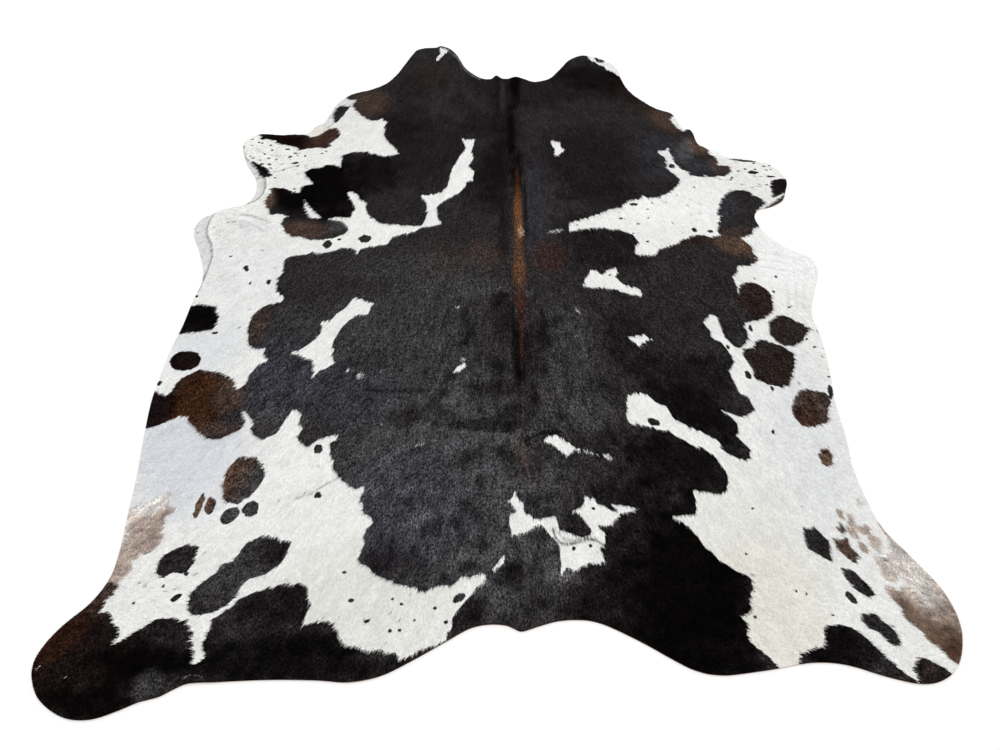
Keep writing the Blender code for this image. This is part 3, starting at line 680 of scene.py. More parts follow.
@dataclass(frozen=True)
class PlanNet:
    """The even net that the plan's fields are worked out on, with a margin past the rim."""

    half_width: float
    half_length: float
    pitch: float = 0.0025
    margin: float = 0.03

    def lines(self, half: float) -> Array:
        """Set out the net's lines across one half size to both sides of the middle."""
        count = math.ceil(2.0 * (half + self.margin) / self.pitch) + 1
        return -half - self.margin + np.arange(count) * self.pitch

    @property
    def xs(self) -> Array:
        """Plan x of the net's columns."""
        return self.lines(self.half_width)

    @property
    def ys(self) -> Array:
        """Plan y of the net's rows."""
        return self.lines(self.half_length)

    def field_of(self, values: Array) -> PlanField:
        """Make a field of values on the net."""
        return PlanField((self.xs[0], self.ys[0]), self.pitch, values)

    def within(self, outline: Array) -> Array:
        """Mark the net's points that lie inside a closed outline.

        Args:
            outline: Plan points of the outline, in metres.

        Returns:
            True for each point of the net that is inside.
        """
        xs, ys = self.xs, self.ys
        mask = np.zeros((len(ys), len(xs)), dtype=bool)
        after = np.roll(outline, -1, axis=0)
        for row, y in enumerate(ys):
            crossed = (outline[:, 1] > y) != (after[:, 1] > y)
            a, b = outline[crossed], after[crossed]
            cuts = np.sort(a[:, 0] + (b[:, 0] - a[:, 0]) * (y - a[:, 1]) / (b[:, 1] - a[:, 1]))
            for start, end in zip(cuts[0::2], cuts[1::2]):
                mask[row, np.searchsorted(xs, start):np.searchsorted(xs, end)] = True
        return mask

    def depth(self, outline: Array) -> Array:
        """Work out how deep each point of the net lies inside a closed outline.

        Args:
            outline: Plan points of the outline, in metres.

        Returns:
            The distances to the outline, none past the margin, positive inside and negative outside.
        """
        xs, ys = self.xs, self.ys
        gap = np.full((len(ys), len(xs)), self.margin)
        for a, b in zip(outline, np.roll(outline, -1, axis=0)):
            low = np.minimum(a, b) - self.margin
            high = np.maximum(a, b) + self.margin
            j0, j1 = np.searchsorted(xs, (low[0], high[0]))
            i0, i1 = np.searchsorted(ys, (low[1], high[1]))
            near = gap[i0:i1, j0:j1]
            np.minimum(near, off_segment(xs[j0:j1][None, :], ys[i0:i1][:, None], a, b), out=near)
        return np.where(self.within(outline), gap, -gap)


class SoftNoise:
    """Smooth, repeatable noise between -1 and 1, with grains of one size."""

    SIDE = 256

    def __init__(self, seed: int, grain: float) -> None:
        """Draw the noise's table from a seed, for grains of this size in metres."""
        self.grain = grain
        self.table = np.random.default_rng(seed).uniform(-1.0, 1.0, (self.SIDE, self.SIDE))

    def at(self, u: Array, v: Array) -> Array:
        """Read the noise.

        Args:
            u, v: The two coordinates, in metres.

        Returns:
            The noise at each pair of coordinates.
        """
        u, v = u / self.grain, v / self.grain
        i, j = np.floor(v).astype(int), np.floor(u).astype(int)
        rows, columns = ((k % self.SIDE, (k + 1) % self.SIDE) for k in (i, j))
        return between(self.table, rows, columns, s_curve(v - i), s_curve(u - j))


# ---------------------------------------------------------------- the hide's form


class HideForm:
    """The hide's plan and lie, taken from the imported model."""

    RIM_STEP = 0.004
    LIFT_PITCH = 0.005
    LEVEL = 1e-5
    FACING_DOWN = -0.2
    SMOOTHING = 2
    FOLD_FLOOR = 0.0006
    WAVE = 0.0006
    WAVE_SPACE = 0.03
    RIM_SPACE = 0.45
    MERGE = 1e-7
    BELOW = -1.0

    def __init__(self, node: Piece) -> None:
        """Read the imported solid.

        Args:
            node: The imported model's hide.
        """
        places = np.empty(len(node.data.vertices) * 3)
        node.data.vertices.foreach_get("co", places)
        self.places = places.reshape(-1, 3)
        self.high = self.places.max(axis=0)
        self.low = self.places.min(axis=0)
        faces = [tuple(face.vertices) for face in node.data.polygons]
        corners = self.places[np.array(faces)]
        across = np.cross(corners[:, 1] - corners[:, 0], corners[:, 2] - corners[:, 0])
        rise = across[:, 2] / np.maximum(np.linalg.norm(across, axis=1), TINY)
        self.under = [face for face, up in zip(faces, rise) if up < self.FACING_DOWN]
        self.rim = self.smooth(self.trace_rim())
        self.net = PlanNet(self.high[0], self.high[1])
        self.inside = self.net.field_of(self.net.depth(self.rim))
        self.lift = self.read_lift()
        self.ripple = SoftNoise(41, 0.11)

    def trace_rim(self) -> Array:
        """Follow the outer edge of the underside, once round.

        Returns:
            The corners of the rim in plan.
        """
        keys = [tuple(np.round(p[:2] / self.LEVEL).astype(int)) for p in self.places]
        runs: dict[tuple, list] = {}
        for face in self.under:
            for a, b in zip(face, (*face[1:], face[0])):
                a, b = keys[a], keys[b]
                if a in runs.get(b, ()):
                    runs[b].remove(a)
                else:
                    runs.setdefault(a, []).append(b)
        loops = []
        while any(runs.values()):
            start = next(key for key, ends in runs.items() if ends)
            loop = [start]
            here = runs[start].pop()
            while here != start:
                loop.append(here)
                here = runs[here].pop()
            loops.append(loop)
        return np.array(max(loops, key=len)) * self.LEVEL

    def smooth(self, corners: Array) -> Array:
        """Draw a smooth curve through the rim's corners.

        Args:
            corners: The rim's corners in plan.

        Returns:
            Points of the curve, about one rim step apart.
        """
        walk = []
        for a, b, c, d in zip(*(np.roll(corners, -shift, axis=0) for shift in (-1, 0, 1, 2))):
            parts = max(1, round(float(np.hypot(*(c - b))) / self.RIM_STEP))
            for part in range(parts):
                t = part / parts
                walk.append(0.5 * (2.0 * b + (c - a) * t
                                   + (2.0 * a - 5.0 * b + 4.0 * c - d) * t ** 2
                                   + (3.0 * b - a - 3.0 * c + d) * t ** 3))
        return np.array(walk)

    def read_lift(self) -> PlanField:
        """Read the height of the underside off the floor over the plan.

        Returns:
            The field of heights, eased over the solid's facets and carried on past the rim.
        """
        tree = BVHTree.FromPolygons([Vector(p) for p in self.places], self.under)
        net = PlanNet(self.high[0], self.high[1], pitch=self.LIFT_PITCH)
        heights = np.full((len(net.ys), len(net.xs)), np.nan)
        up = Vector((0.0, 0.0, 1.0))
        for row, y in zip(heights, net.ys):
            for j, x in enumerate(net.xs):
                hit = tree.ray_cast(Vector((x, y, self.BELOW)), up)[0]
                if hit is not None:
                    row[j] = hit.z
        for _ in range(int(net.margin / self.LIFT_PITCH) + 1):
            heights = self.grow(heights)
        heights = np.nan_to_num(heights)
        for _ in range(self.SMOOTHING):
            heights = self.ease(heights)
        return net.field_of(heights)

    @staticmethod
    def grow(heights: Array) -> Array:
        """Carry the known heights one step out over the unknown ones.

        Args:
            heights: The heights on a net, not a number where they are unknown.

        Returns:
            The heights with one more row of known ones.
        """
        around = beside(heights, constant_values=np.nan)
        known = ~np.isnan(around)
        mean = np.where(known, around, 0.0).sum(axis=0) / np.maximum(known.sum(axis=0), 1)
        return np.where(np.isnan(heights) & known.any(axis=0), mean, heights)

    @staticmethod
    def ease(heights: Array) -> Array:
        """Smooth the heights a little with their neighbours.

        Args:
            heights: The heights on a net.

        Returns:
            The smoothed heights.
        """
        padded = np.pad(heights, 1, mode="edge")
        along = 0.25 * padded[:, :-2] + 0.5 * padded[:, 1:-1] + 0.25 * padded[:, 2:]
        return 0.25 * along[:-2] + 0.5 * along[1:-1] + 0.25 * along[2:]

    def height(self, x: Array, y: Array) -> Array:
        """Height of the leather's underside off the floor, with the hide's own slight waviness.

        Args:
            x, y: Plan place of the points, in metres.

        Returns:
            The height at each point.
        """
        wave = self.WAVE * (1.0 + self.ripple.at(x, y))
        wave = wave * soft_step(0.0, self.WAVE_SPACE, self.inside.at(x, y))
        return np.maximum(self.lift.at(x, y), 0.0) + wave

    def ring(self, inset: float) -> Array:
        """Walk round the rim a little way inside it.

        Args:
            inset: Distance in from the rim.

        Returns:
            One point for each point of the rim.
        """
        run = np.roll(self.rim, -1, axis=0) - np.roll(self.rim, 1, axis=0)
        inward = stack(-run[:, 1], run[:, 0]) * np.sign(self.turn_of(self.rim))
        return self.rim + inset * inward / np.maximum(np.linalg.norm(inward, axis=1), TINY)[:, None]

    @staticmethod
    def turn_of(ring: Array) -> float:
        """Twice the area that a ring encloses, positive where it runs anticlockwise."""
        after = np.roll(ring, -1, axis=0)
        return float((ring[:, 0] * after[:, 1] - after[:, 0] * ring[:, 1]).sum())

    def lattice(self, pitch: float) -> Array:
        """Set out an even net of triangles' corners over the hide.

        Args:
            pitch: Distance between the corners.

        Returns:
            The corners well inside the rim, in plan.
        """
        rows = np.arange(self.low[1], self.high[1], pitch * math.sqrt(3.0) / 2.0)
        columns = np.arange(self.low[0], self.high[0], pitch)
        x = (columns[None, :] + (np.arange(len(rows)) % 2)[:, None] * pitch / 2.0).ravel()
        y = np.repeat(rows, len(columns))
        return stack(x, y)[self.inside.at(x, y) > self.RIM_SPACE * pitch]

    def corners(self, pitch: float, fold_pitch: float) -> Array:
        """Set out corners over the hide, closer together on its folds.

        Args:
            pitch: Distance between the corners where the hide lies flat.
            fold_pitch: Distance between them on the folds.

        Returns:
            The plan points.
        """
        flat, raised = self.lattice(pitch), self.lattice(fold_pitch)
        low, high = (self.lift.at(*corners.T) > self.FOLD_FLOOR for corners in (flat, raised))
        return np.concatenate([flat[~low], raised[high]])

    def divide(self, ring: Array, inner: Array) -> tuple[Array, Array]:
        """Divide the plan inside a ring into triangles.

        Args:
            ring: The ring's points, in order.
            inner: The points inside it.

        Returns:
            The plan points, those of the ring first, and the triangles.
        """
        plan = [Vector(p) for p in np.concatenate([ring, inner])]
        found = delaunay_2d_cdt(plan, [], [list(range(len(ring)))], 1, self.MERGE)
        return np.array([tuple(p) for p in found[0]]), np.array([tuple(f) for f in found[2]])


# ---------------------------------------------------------------- how the hair lies


class HairLay:
    """How the coat lies: along the spine to the tail, outward over the flanks, down the legs."""

    FAN = 1.15
    LEG_FAN = 2.2
    SPINE = 0.04
    SWIRL = 0.22
    FINE_SWIRL = 0.16
    SIDES = (0.35, 0.75)
    FORE_LEGS = (0.15, 0.45)
    HIND_LEGS = (0.7, 0.95)

    def __init__(self) -> None:
        """Draw the coat's cowlicks."""
        self.broad = SoftNoise(7, 0.16)
        self.fine = SoftNoise(8, 0.035)

    def heading(self, x: Array, y: Array) -> Array:
        """Find the way the hair points.

        Args:
            x, y: Plan place of the hairs, in metres.

        Returns:
            The heading at each point, as an angle from +X in radians.
        """
        legs = soft_step(*self.FORE_LEGS, y) + soft_step(*self.HIND_LEGS, -y)
        fan = 1.0 + self.LEG_FAN * (soft_step(*self.SIDES, np.abs(x)) * legs)
        plain = np.arctan2(-1.0, self.FAN * fan * (x - self.SPINE))
        return plain + self.SWIRL * self.broad.at(x, y) + self.FINE_SWIRL * self.fine.at(x, y)

    def drawn_out(self, noise: SoftNoise, x: Array, y: Array, stretch: float) -> Array:
        """Read a noise whose grains are drawn out along the hair.

        Args:
            noise: The noise.
            x, y: Plan place of the hairs, in metres.
            stretch: A grain's width as a share of its length.

        Returns:
            The noise at each point.
        """
        across = (x - self.SPINE) * np.exp(self.FAN * y)
        along = -y + 0.5 * self.FAN * x * x
        return noise.at(across, along * stretch)


class Locks:
    """The small locks that the hair lies in, one to a cell of an uneven net."""

    SIDE = 512
    PITCH = 0.0050
    SCATTER = 0.42
    SLIMNESS = 0.5

    def __init__(self, lay: HairLay, seed: int = 61) -> None:
        """Draw each lock's own place, turn, shine and rank among the specks; the shine is partly the lock's
        own tone, partly a painted glint.

        Args:
            lay: How the hair lies, which the locks are drawn out along.
            seed: Seed of the draw.
        """
        rng = np.random.default_rng(seed)
        size = (self.SIDE, self.SIDE)
        self.lay = lay
        self.places = rng.uniform(-self.SCATTER, self.SCATTER, (*size, 2))
        turn, shine = rng.normal(0.0, 1.0, (2, *size))
        self.traits = np.stack([turn, shine, rng.random(size)], axis=2)

    def nearest(self, x: Array, y: Array) -> tuple[Array, ...]:
        """Find the lock that each hair belongs to.

        Args:
            x, y: Plan place of the hairs, in metres.

        Returns:
            Each hair's lock's middle in plan, its turn, its shine and its rank among the specks.
        """
        heading = self.lay.heading(x, y)
        cos, sin = np.cos(heading), np.sin(heading)
        column, row = (np.floor(line / self.PITCH).astype(int) for line in (x, y))
        best = np.full(len(x), np.inf)
        found = np.zeros((len(x), 5))
        for i, j in product((-1, 0, 1), repeat=2):
            cell = ((row + i) % self.SIDE, (column + j) % self.SIDE)
            place = (stack(column + j, row + i) + 0.5 + self.places[cell]) * self.PITCH
            dx, dy = place[:, 0] - x, place[:, 1] - y
            away = np.hypot((dx * cos + dy * sin) * self.SLIMNESS, dy * cos - dx * sin)
            nearer = away < best
            best[nearer] = away[nearer]
            found[nearer] = np.hstack([place, self.traits[cell]])[nearer]
        return found[:, :2], *found[:, 2:].T


# ---------------------------------------------------------------- the coat's colours


def blend(colour: Array, tone: Tone, share: Array) -> Array:
    """Mix a tone into colours, by a share for each of them."""
    return colour + (np.array(tone.value) - colour) * np.asarray(share)[:, None]


@dataclass(frozen=True)
class Ground:
    """A colour of the coat with the soft ovals of other tones that lie over it."""

    tone: Tone
    shades: tuple[Shade, ...]
    core: float
    edge: float
    waver: float

    def colour(self, x: Array, y: Array, mottle: Array) -> Array:
        """Give the ground's colour over the plan.

        Args:
            x, y: Plan place of the points, in metres.
            mottle: Noise that makes the ovals' edges waver.

        Returns:
            One linear colour for each point.
        """
        colour = np.tile(np.array(self.tone.value), (len(x), 1))
        for shade in self.shades:
            wide = 1.0 - soft_step(self.core, self.edge, oval(x, y, shade) + self.waver * mottle)
            colour = blend(colour, shade.tone, wide * shade.strength)
        return colour


# the dark ground's grey, steel and silver ovals are partly painted sheen
DARK_GROUND = Ground(Tone.COAT, DARK_SHADES, core=0.45, edge=1.25, waver=0.22)
PALE_GROUND = Ground(Tone.WHITE, PALE_SHADES, core=0.5, edge=1.3, waver=0.2)
FADED_GROUND = Ground(Tone.TAUPE, FADED_SHADES, core=0.4, edge=1.25, waver=0.25)


class Markings:
    """The coat's colours over the plan, as they were charted."""

    # the teeth of the dark hair's borders
    TEETH_STRETCH = 0.16
    LEAST_TEETH = 0.0017
    FACING_TEETH = 0.0036
    BROAD_TEETH = 0.0014
    ROOM_STEPS = 4
    FULL_ROOM = 0.008
    LEAST_ROOM = 0.25
    # the teeth of the flecks
    FLECK_TEETH = 0.0024
    FLECK_TEETH_SHARE = 0.4
    # how far past a fleck hairs still feel it, in cm, and the depth of those that feel none, in m
    FLECK_REACH = 1.2
    FAR_OFF = 1.0
    # where a crease fades out and how far out it is looked for, in its half widths
    CREASE_EDGE = (0.35, 1.3)
    CREASE_REACH = 2.0
    # the dark hair's brightness noise, partly its own uneven tone and partly painted sheen: its grains'
    # slimness and how strongly they show
    MOTTLE_STRETCH = 0.5
    STREAK_STRETCH = 0.22
    CLUMP_STRETCH = 0.45
    FLOW_STRETCH = 0.2
    LOIN = (-0.1, 0.4)
    LOIN_GAIN = 0.5
    BEHIND_NECK = (0.0, 0.1)
    BESIDE_SPINE = (0.12, 0.30)
    BACK_MIDDLE = 0.02
    CLUMP_EDGE = (0.25, 0.85)
    DARK_MOTTLE = 0.30
    DARK_STREAK = 0.26
    FLOW = 0.10
    SPINE_FLOW = 0.22
    SPINE_CLUMP = 0.45
    DARK_RANGE = (0.3, 2.0)
    # the pale and the faded hair
    PALE_STRETCH = 0.12
    PALE_MOTTLE = 0.03
    PALE_STREAK = 0.05
    PALE_RANGE = (0.75, 1.12)
    FLAP_EDGE = (-0.0005, 0.002)
    FLAP_SHADE_SHARE = 0.28
    FADED_MOTTLE = 0.25
    FADED_STREAK = 0.30
    FADED_RANGE = (0.5, 1.5)
    FADED_EDGE = (-0.0012, 0.0018)
    FADED_WAVER = (0.003, 0.004)
    # the coat is calmer over the neck
    NECK = (-0.05, 0.55)
    NECK_CALM = 0.45

    def __init__(self, net: PlanNet, lay: HairLay) -> None:
        """Work the chart into fields of distances to the markings' borders.

        Args:
            net: The net that the fields are worked out on.
            lay: How the hair lies, which the ragged borders follow.
        """
        self.lay = lay
        self.net = net
        body = LEFT_EDGE + ROUND_THE_TAIL + tuple(reversed(RIGHT_EDGE)) + ROUND_THE_HEAD
        depth = self.depth_in(Patch("dark body", body), *DARK_PATCHES)
        depth = np.minimum(depth, -self.depth_in(*WHITE_ISLANDS))
        depth = np.maximum(depth, self.depth_in(*DARK_OVER_ISLANDS))
        room = np.minimum(self.widest(depth), self.widest(-depth))
        self.dark_depth = net.field_of(depth)
        self.room = net.field_of(np.clip(room / self.FULL_ROOM, self.LEAST_ROOM, 1.0))
        self.faded_depth = net.field_of(self.depth_in(*FADED_PATCHES))
        self.flap_depth = net.field_of(self.depth_in(*FLAPS))
        self.ragged = SoftNoise(21, 0.0036)
        self.ragged_more = SoftNoise(22, 0.011)
        self.mottle = SoftNoise(31, 0.030)
        self.mottle_fine = SoftNoise(32, 0.009)
        self.streak = SoftNoise(33, 0.0045)
        self.flow = SoftNoise(34, 0.011)
        self.clump = SoftNoise(35, 0.016)

    def depth_in(self, *patches: Patch) -> Array:
        """Work out how deep the net's points lie inside any of some patches."""
        return np.max([self.net.depth(np.array(patch.outline) * CM) for patch in patches], axis=0)

    def widest(self, depth: Array) -> Array:
        """Find the greatest depth close round each point of the net.

        Args:
            depth: The depth at each point.

        Returns:
            The greatest one within a few steps.
        """
        for _ in range(self.ROOM_STEPS):
            depth = np.maximum(depth, beside(depth, mode="edge").max(axis=0))
        return depth

    def teeth(self, x: Array, y: Array) -> Array:
        """Read the noise that borders are toothed by, drawn out along the hair."""
        return self.lay.drawn_out(self.ragged, x, y, self.TEETH_STRETCH)

    def darkness(self, x: Array, y: Array) -> Array:
        """Say how deep points lie in dark hair, with borders as ragged as hair makes them.

        Args:
            x, y: Plan place of the points, in metres.

        Returns:
            The depth in metres, negative in white hair.
        """
        heading = self.lay.heading(x, y)
        step = self.net.pitch
        rise_x = self.dark_depth.at(x + step, y) - self.dark_depth.at(x - step, y)
        rise_y = self.dark_depth.at(x, y + step) - self.dark_depth.at(x, y - step)
        facing = rise_x * np.cos(heading) + rise_y * np.sin(heading)
        facing = np.abs(facing) / np.maximum(np.hypot(rise_x, rise_y), LEAST_RISE)
        teeth = self.teeth(x, y) * (self.LEAST_TEETH + self.FACING_TEETH * facing)
        teeth = teeth + self.BROAD_TEETH * self.lay.drawn_out(self.ragged_more, x, y, self.TEETH_STRETCH)
        return self.dark_depth.at(x, y) + teeth * self.room.at(x, y)

    def spots(self, x: Array, y: Array) -> Array:
        """Say how deep points lie in the small dark flecks.

        Args:
            x, y: Plan place of the points, in metres.

        Returns:
            The depth in metres, negative outside the flecks.
        """
        depth = np.full(len(x), -self.FAR_OFF)
        ragged = self.teeth(x, y)
        for spot in DARK_SPOTS:
            reach = (max(spot.across, spot.along) + self.FLECK_REACH) * CM
            near = np.flatnonzero((np.abs(x - spot.x * CM) < reach) & (np.abs(y - spot.y * CM) < reach))
            half = min(spot.across, spot.along) * CM
            teeth = min(self.FLECK_TEETH, self.FLECK_TEETH_SHARE * half) * ragged[near]
            depth[near] = np.maximum(depth[near], (1.0 - oval(x[near], y[near], spot)) * half + teeth)
        return depth

    def paint_crease_light(self, colour: Array, x: Array, y: Array) -> Array:
        """Paint the creases' shade and highlights over the hair.

        Args:
            colour: The hair's own colours.
            x, y: Plan place of the hairs, in metres.

        Returns:
            The colours with the creases' painted shade and highlights.
        """
        for crease in PAINTED_CREASE_LIGHT:
            line = np.array(crease.line) * CM
            half = crease.half_width * CM
            low = line.min(axis=0) - self.CREASE_REACH * half
            high = line.max(axis=0) + self.CREASE_REACH * half
            near = np.flatnonzero((x > low[0]) & (x < high[0]) & (y > low[1]) & (y < high[1]))
            gaps = [off_segment(x[near], y[near], a, b) for a, b in zip(line[:-1], line[1:])]
            wide = crease.strength * (1.0 - soft_step(*self.CREASE_EDGE, np.min(gaps, axis=0) / half))
            colour[near] = blend(colour[near], crease.tone, wide)
        return colour

    def dark_colour(self, x: Array, y: Array) -> Array:
        """Give the colour that a dark hair has at a place, with painted sheen in its mottle and grey ovals
        and painted crease light.

        Args:
            x, y: Plan place of the hairs, in metres.

        Returns:
            One linear colour for each point.
        """
        drawn_out = self.lay.drawn_out
        fine = drawn_out(self.mottle_fine, x, y, self.MOTTLE_STRETCH)
        mottle = 0.5 * self.mottle.at(x, y) + 0.5 * fine
        streak = drawn_out(self.streak, x, y, self.STREAK_STRETCH)
        loin = 1.0 + self.LOIN_GAIN * soft_step(*self.LOIN, -y)
        off_spine = soft_step(*self.BESIDE_SPINE, np.abs(x - self.BACK_MIDDLE))
        spine = soft_step(*self.BEHIND_NECK, -y) * (1.0 - off_spine)
        clump = soft_step(*self.CLUMP_EDGE, drawn_out(self.clump, x, y, self.CLUMP_STRETCH))
        flow = drawn_out(self.flow, x, y, self.FLOW_STRETCH)
        bright = 1.0 + loin * (self.DARK_MOTTLE * mottle + self.DARK_STREAK * streak)
        bright = bright + (self.FLOW + self.SPINE_FLOW * spine) * flow - self.SPINE_CLUMP * spine * clump
        colour = DARK_GROUND.colour(x, y, mottle)
        return self.paint_crease_light(colour * np.clip(bright, *self.DARK_RANGE)[:, None], x, y)

    def pale_colour(self, x: Array, y: Array) -> Array:
        """Give the colour that a white or faded hair has at a place.

        Args:
            x, y: Plan place of the hairs, in metres.

        Returns:
            One linear colour for each point.
        """
        mottle = 0.5 * self.mottle.at(x, y) + 0.5 * self.mottle_fine.at(x, y)
        streak = self.lay.drawn_out(self.streak, x, y, self.PALE_STRETCH)
        # the flaps' grey is partly skin through thin hair, partly painted shade
        flap = soft_step(*self.FLAP_EDGE, self.flap_depth.at(x, y))
        pale = blend(PALE_GROUND.colour(x, y, mottle), Tone.GREY_SHADE, self.FLAP_SHADE_SHARE * flap)
        bright = 1.0 + self.PALE_MOTTLE * mottle + self.PALE_STREAK * streak
        pale = pale * np.clip(bright, *self.PALE_RANGE)[:, None]
        bright = 1.0 + self.FADED_MOTTLE * mottle + self.FADED_STREAK * streak
        faded = FADED_GROUND.colour(x, y, mottle) * np.clip(bright, *self.FADED_RANGE)[:, None]
        broad, narrow = self.FADED_WAVER
        share = soft_step(*self.FADED_EDGE, self.faded_depth.at(x, y) + broad * mottle + narrow * streak)
        return self.paint_crease_light(pale + (faded - pale) * share[:, None], x, y)

    def is_faded(self, x: Array, y: Array) -> Array:
        """Mark the points that lie in a faded patch."""
        return self.faded_depth.at(x, y) > 0.0

    def liveliness(self, y: Array) -> Array:
        """Say how strongly dark hair is broken up, which is less over the neck."""
        return 1.0 - self.NECK_CALM * soft_step(*self.NECK, y)


# ---------------------------------------------------------------- finishes


class Shader:
    """A material in the making: one surface and the nodes that feed it."""

    def __init__(self, name: str, roughness: float, gloss: float) -> None:
        """Start a material.

        Args:
            name: The material's name.
            roughness: How matt its surface is.
            gloss: How strongly it mirrors.
        """
        self.material = bpy.data.materials.new(name)
        self.material.use_nodes = True
        self.surface = self.material.node_tree.nodes["Principled BSDF"]
        self.feed(self.surface, {"Roughness": roughness, "Specular IOR Level": gloss})

    def feed(self, node: bpy.types.Node, inputs: dict[str, object]) -> None:
        """Feed a node's inputs.

        Args:
            node: The node.
            inputs: For each input's name the socket that is linked to it, or its constant value.
        """
        for name, source in inputs.items():
            if isinstance(source, Socket):
                self.material.node_tree.links.new(source, node.inputs[name])
            else:
                node.inputs[name].default_value = source

    def add(self, kind: str, inputs: dict[str, object]) -> bpy.types.Node:
        """Add a node and feed its inputs.

        Args:
            kind: The node's kind, without the words that all kinds start with.
            inputs: Its inputs, as for feed.

        Returns:
            The node.
        """
        node = self.material.node_tree.nodes.new("ShaderNode" + kind)
        self.feed(node, inputs)
        return node

    def place(self) -> Socket:
        """Read the place on the piece."""
        return self.add("TexCoord", {}).outputs["Object"]

    def stored(self, name: str, output: str = "Fac") -> Socket:
        """Read what is stored on the piece under a name.

        Args:
            name: Name of the stored value.
            output: Fac for a number, Color for a colour.

        Returns:
            The value.
        """
        node = self.add("Attribute", {})
        node.attribute_name = name
        return node.outputs[output]

    def noise(self, inputs: dict[str, object]) -> Socket:
        """Add a noise with these inputs."""
        return self.add("TexNoise", inputs).outputs["Fac"]

    def soft_rise(self, value: Socket, start: tuple[float, float],
                  end: tuple[float, float] = (0.0, 1.0)) -> Socket:
        """Map a value smoothly.

        Args:
            value: The value.
            start: The range that it is taken from.
            end: The range that it is brought to.

        Returns:
            The mapped value.
        """
        node = self.add("MapRange", {})
        node.interpolation_type = "SMOOTHSTEP"
        names = ("From Min", "From Max", "To Min", "To Max")
        self.feed(node, {"Value": value, **dict(zip(names, (*start, *end)))})
        return node.outputs["Result"]

    def mix(self, share: Socket, first: object, second: object,
            way: str = "MIX") -> Socket:
        """Mix two colours.

        Args:
            share: How much of the second.
            first: The first colour or its socket.
            second: The second one.
            way: How they are brought together.

        Returns:
            The mixed colour.
        """
        node = self.add("Mix", {})
        node.data_type = "RGBA"
        node.blend_type = way
        self.feed(node, {"Factor": share, "A": first, "B": second})
        return node.outputs["Result"]


@dataclass(frozen=True)
class Curls:
    """The painted highlights and shade of the fine curls that short hair shows: how many to the metre, and
    how deep.
    """

    high: float
    low: float = 0.25
    scale: float = 290.0
    stretch: float = 0.62
    detail: float = 1.0
    distortion: float = 0.8
    ends: tuple[float, float] = (0.34, 0.68)

    def over(self, shader: Shader, colour: Socket) -> None:
        """Break the hair's colour up with the curls' painted highlights and shade, and give it to the
        surface.

        Args:
            shader: The material in the making.
            colour: The hair's own colour.
        """
        size = (self.scale, self.stretch * self.scale, self.scale)
        place = shader.add("Mapping", {"Vector": shader.place(), "Scale": size}).outputs["Vector"]
        curls = shader.noise({"Vector": place, "Scale": 1.0, "Detail": self.detail,
                              "Distortion": self.distortion})
        light = shader.soft_rise(curls, self.ends, (self.low, self.high))
        broken = shader.mix(shader.stored("hair_curl_light"), colour, light, "MULTIPLY")
        shader.feed(shader.surface, {"Base Color": broken})


@dataclass(frozen=True)
class HairFinish:
    """Short glossy hair that takes its colour from where it grows."""

    name: str = "cow_hair"
    roughness: float = 0.5
    gloss: float = 0.015
    curls: Curls = Curls(high=2.2)

    def colour(self, shader: Shader) -> Socket:
        """Read the hair's own colour."""
        return shader.stored("hair_colour", "Color")

    def make(self) -> bpy.types.Material:
        """Build the material.

        Returns:
            The material.
        """
        shader = Shader(self.name, self.roughness, self.gloss)
        self.curls.over(shader, self.colour(shader))
        return shader.material


@dataclass(frozen=True)
class UnderHairFinish(HairFinish):
    """The dense under-hair: the coat's colours with the same painted curl light and shade, sharp at their
    borders.
    """

    name: str = "under_hair"
    roughness: float = 0.7
    curls: Curls = Curls(high=1.7)
    border: float = 0.0006

    def colour(self, shader: Shader) -> Socket:
        """Take the dark or the pale colour, by the depth in dark hair."""
        dark = shader.soft_rise(shader.stored("dark_depth"), (-self.border, self.border))
        return shader.mix(dark, shader.stored("pale_colour", "Color"), shader.stored("dark_colour", "Color"))


@dataclass(frozen=True)
class LeatherFinish:
    """Tanned split-side leather: matt, tan, napped, a little uneven in colour."""

    name: str = "tanned_leather"
    tans: tuple[tuple[float, Colour], ...] = (
        (0.3, srgb(150, 112, 82)), (0.5, srgb(176, 138, 104)), (0.72, srgb(196, 166, 136)))
    white_skin: Colour = srgb(212, 198, 184)
    black_skin: Colour = srgb(46, 30, 26)
    roughness: float = 0.88
    gloss: float = 0.1
    cloud_scale: float = 5.0
    cloud_detail: float = 6.0
    nap_scale: float = 900.0
    nap_detail: float = 4.0
    nap_depth: float = 0.0004

    def make(self) -> bpy.types.Material:
        """Build the material.

        Returns:
            The material.
        """
        shader = Shader(self.name, self.roughness, self.gloss)
        place = shader.place()
        clouds = shader.noise({"Vector": place, "Scale": self.cloud_scale, "Detail": self.cloud_detail})
        tones = shader.add("ValToRGB", {"Fac": clouds})
        stops = tones.color_ramp.elements
        stops.new(self.tans[1][0])
        for stop, (position, colour) in zip(stops, self.tans):
            stop.position = position
            stop.color = (*colour, 1.0)
        nap = shader.noise({"Vector": place, "Scale": self.nap_scale, "Detail": self.nap_detail})
        bump = shader.add("Bump", {"Height": nap, "Distance": self.nap_depth}).outputs["Normal"]
        white, black = (*self.white_skin, 1.0), (*self.black_skin, 1.0)
        skin = shader.mix(shader.stored("dark_skin"), white, black)
        both = shader.mix(shader.stored("hair_side"), tones.outputs["Color"], skin)
        shader.feed(shader.surface, {"Base Color": both, "Normal": bump})
        return shader.material


# ---------------------------------------------------------------- meshes


def packed(values: Array, kind: type = np.float32) -> Array:
    """Put values into one plain row of the kind that a mesh takes."""
    return np.ascontiguousarray(values, dtype=kind).ravel()


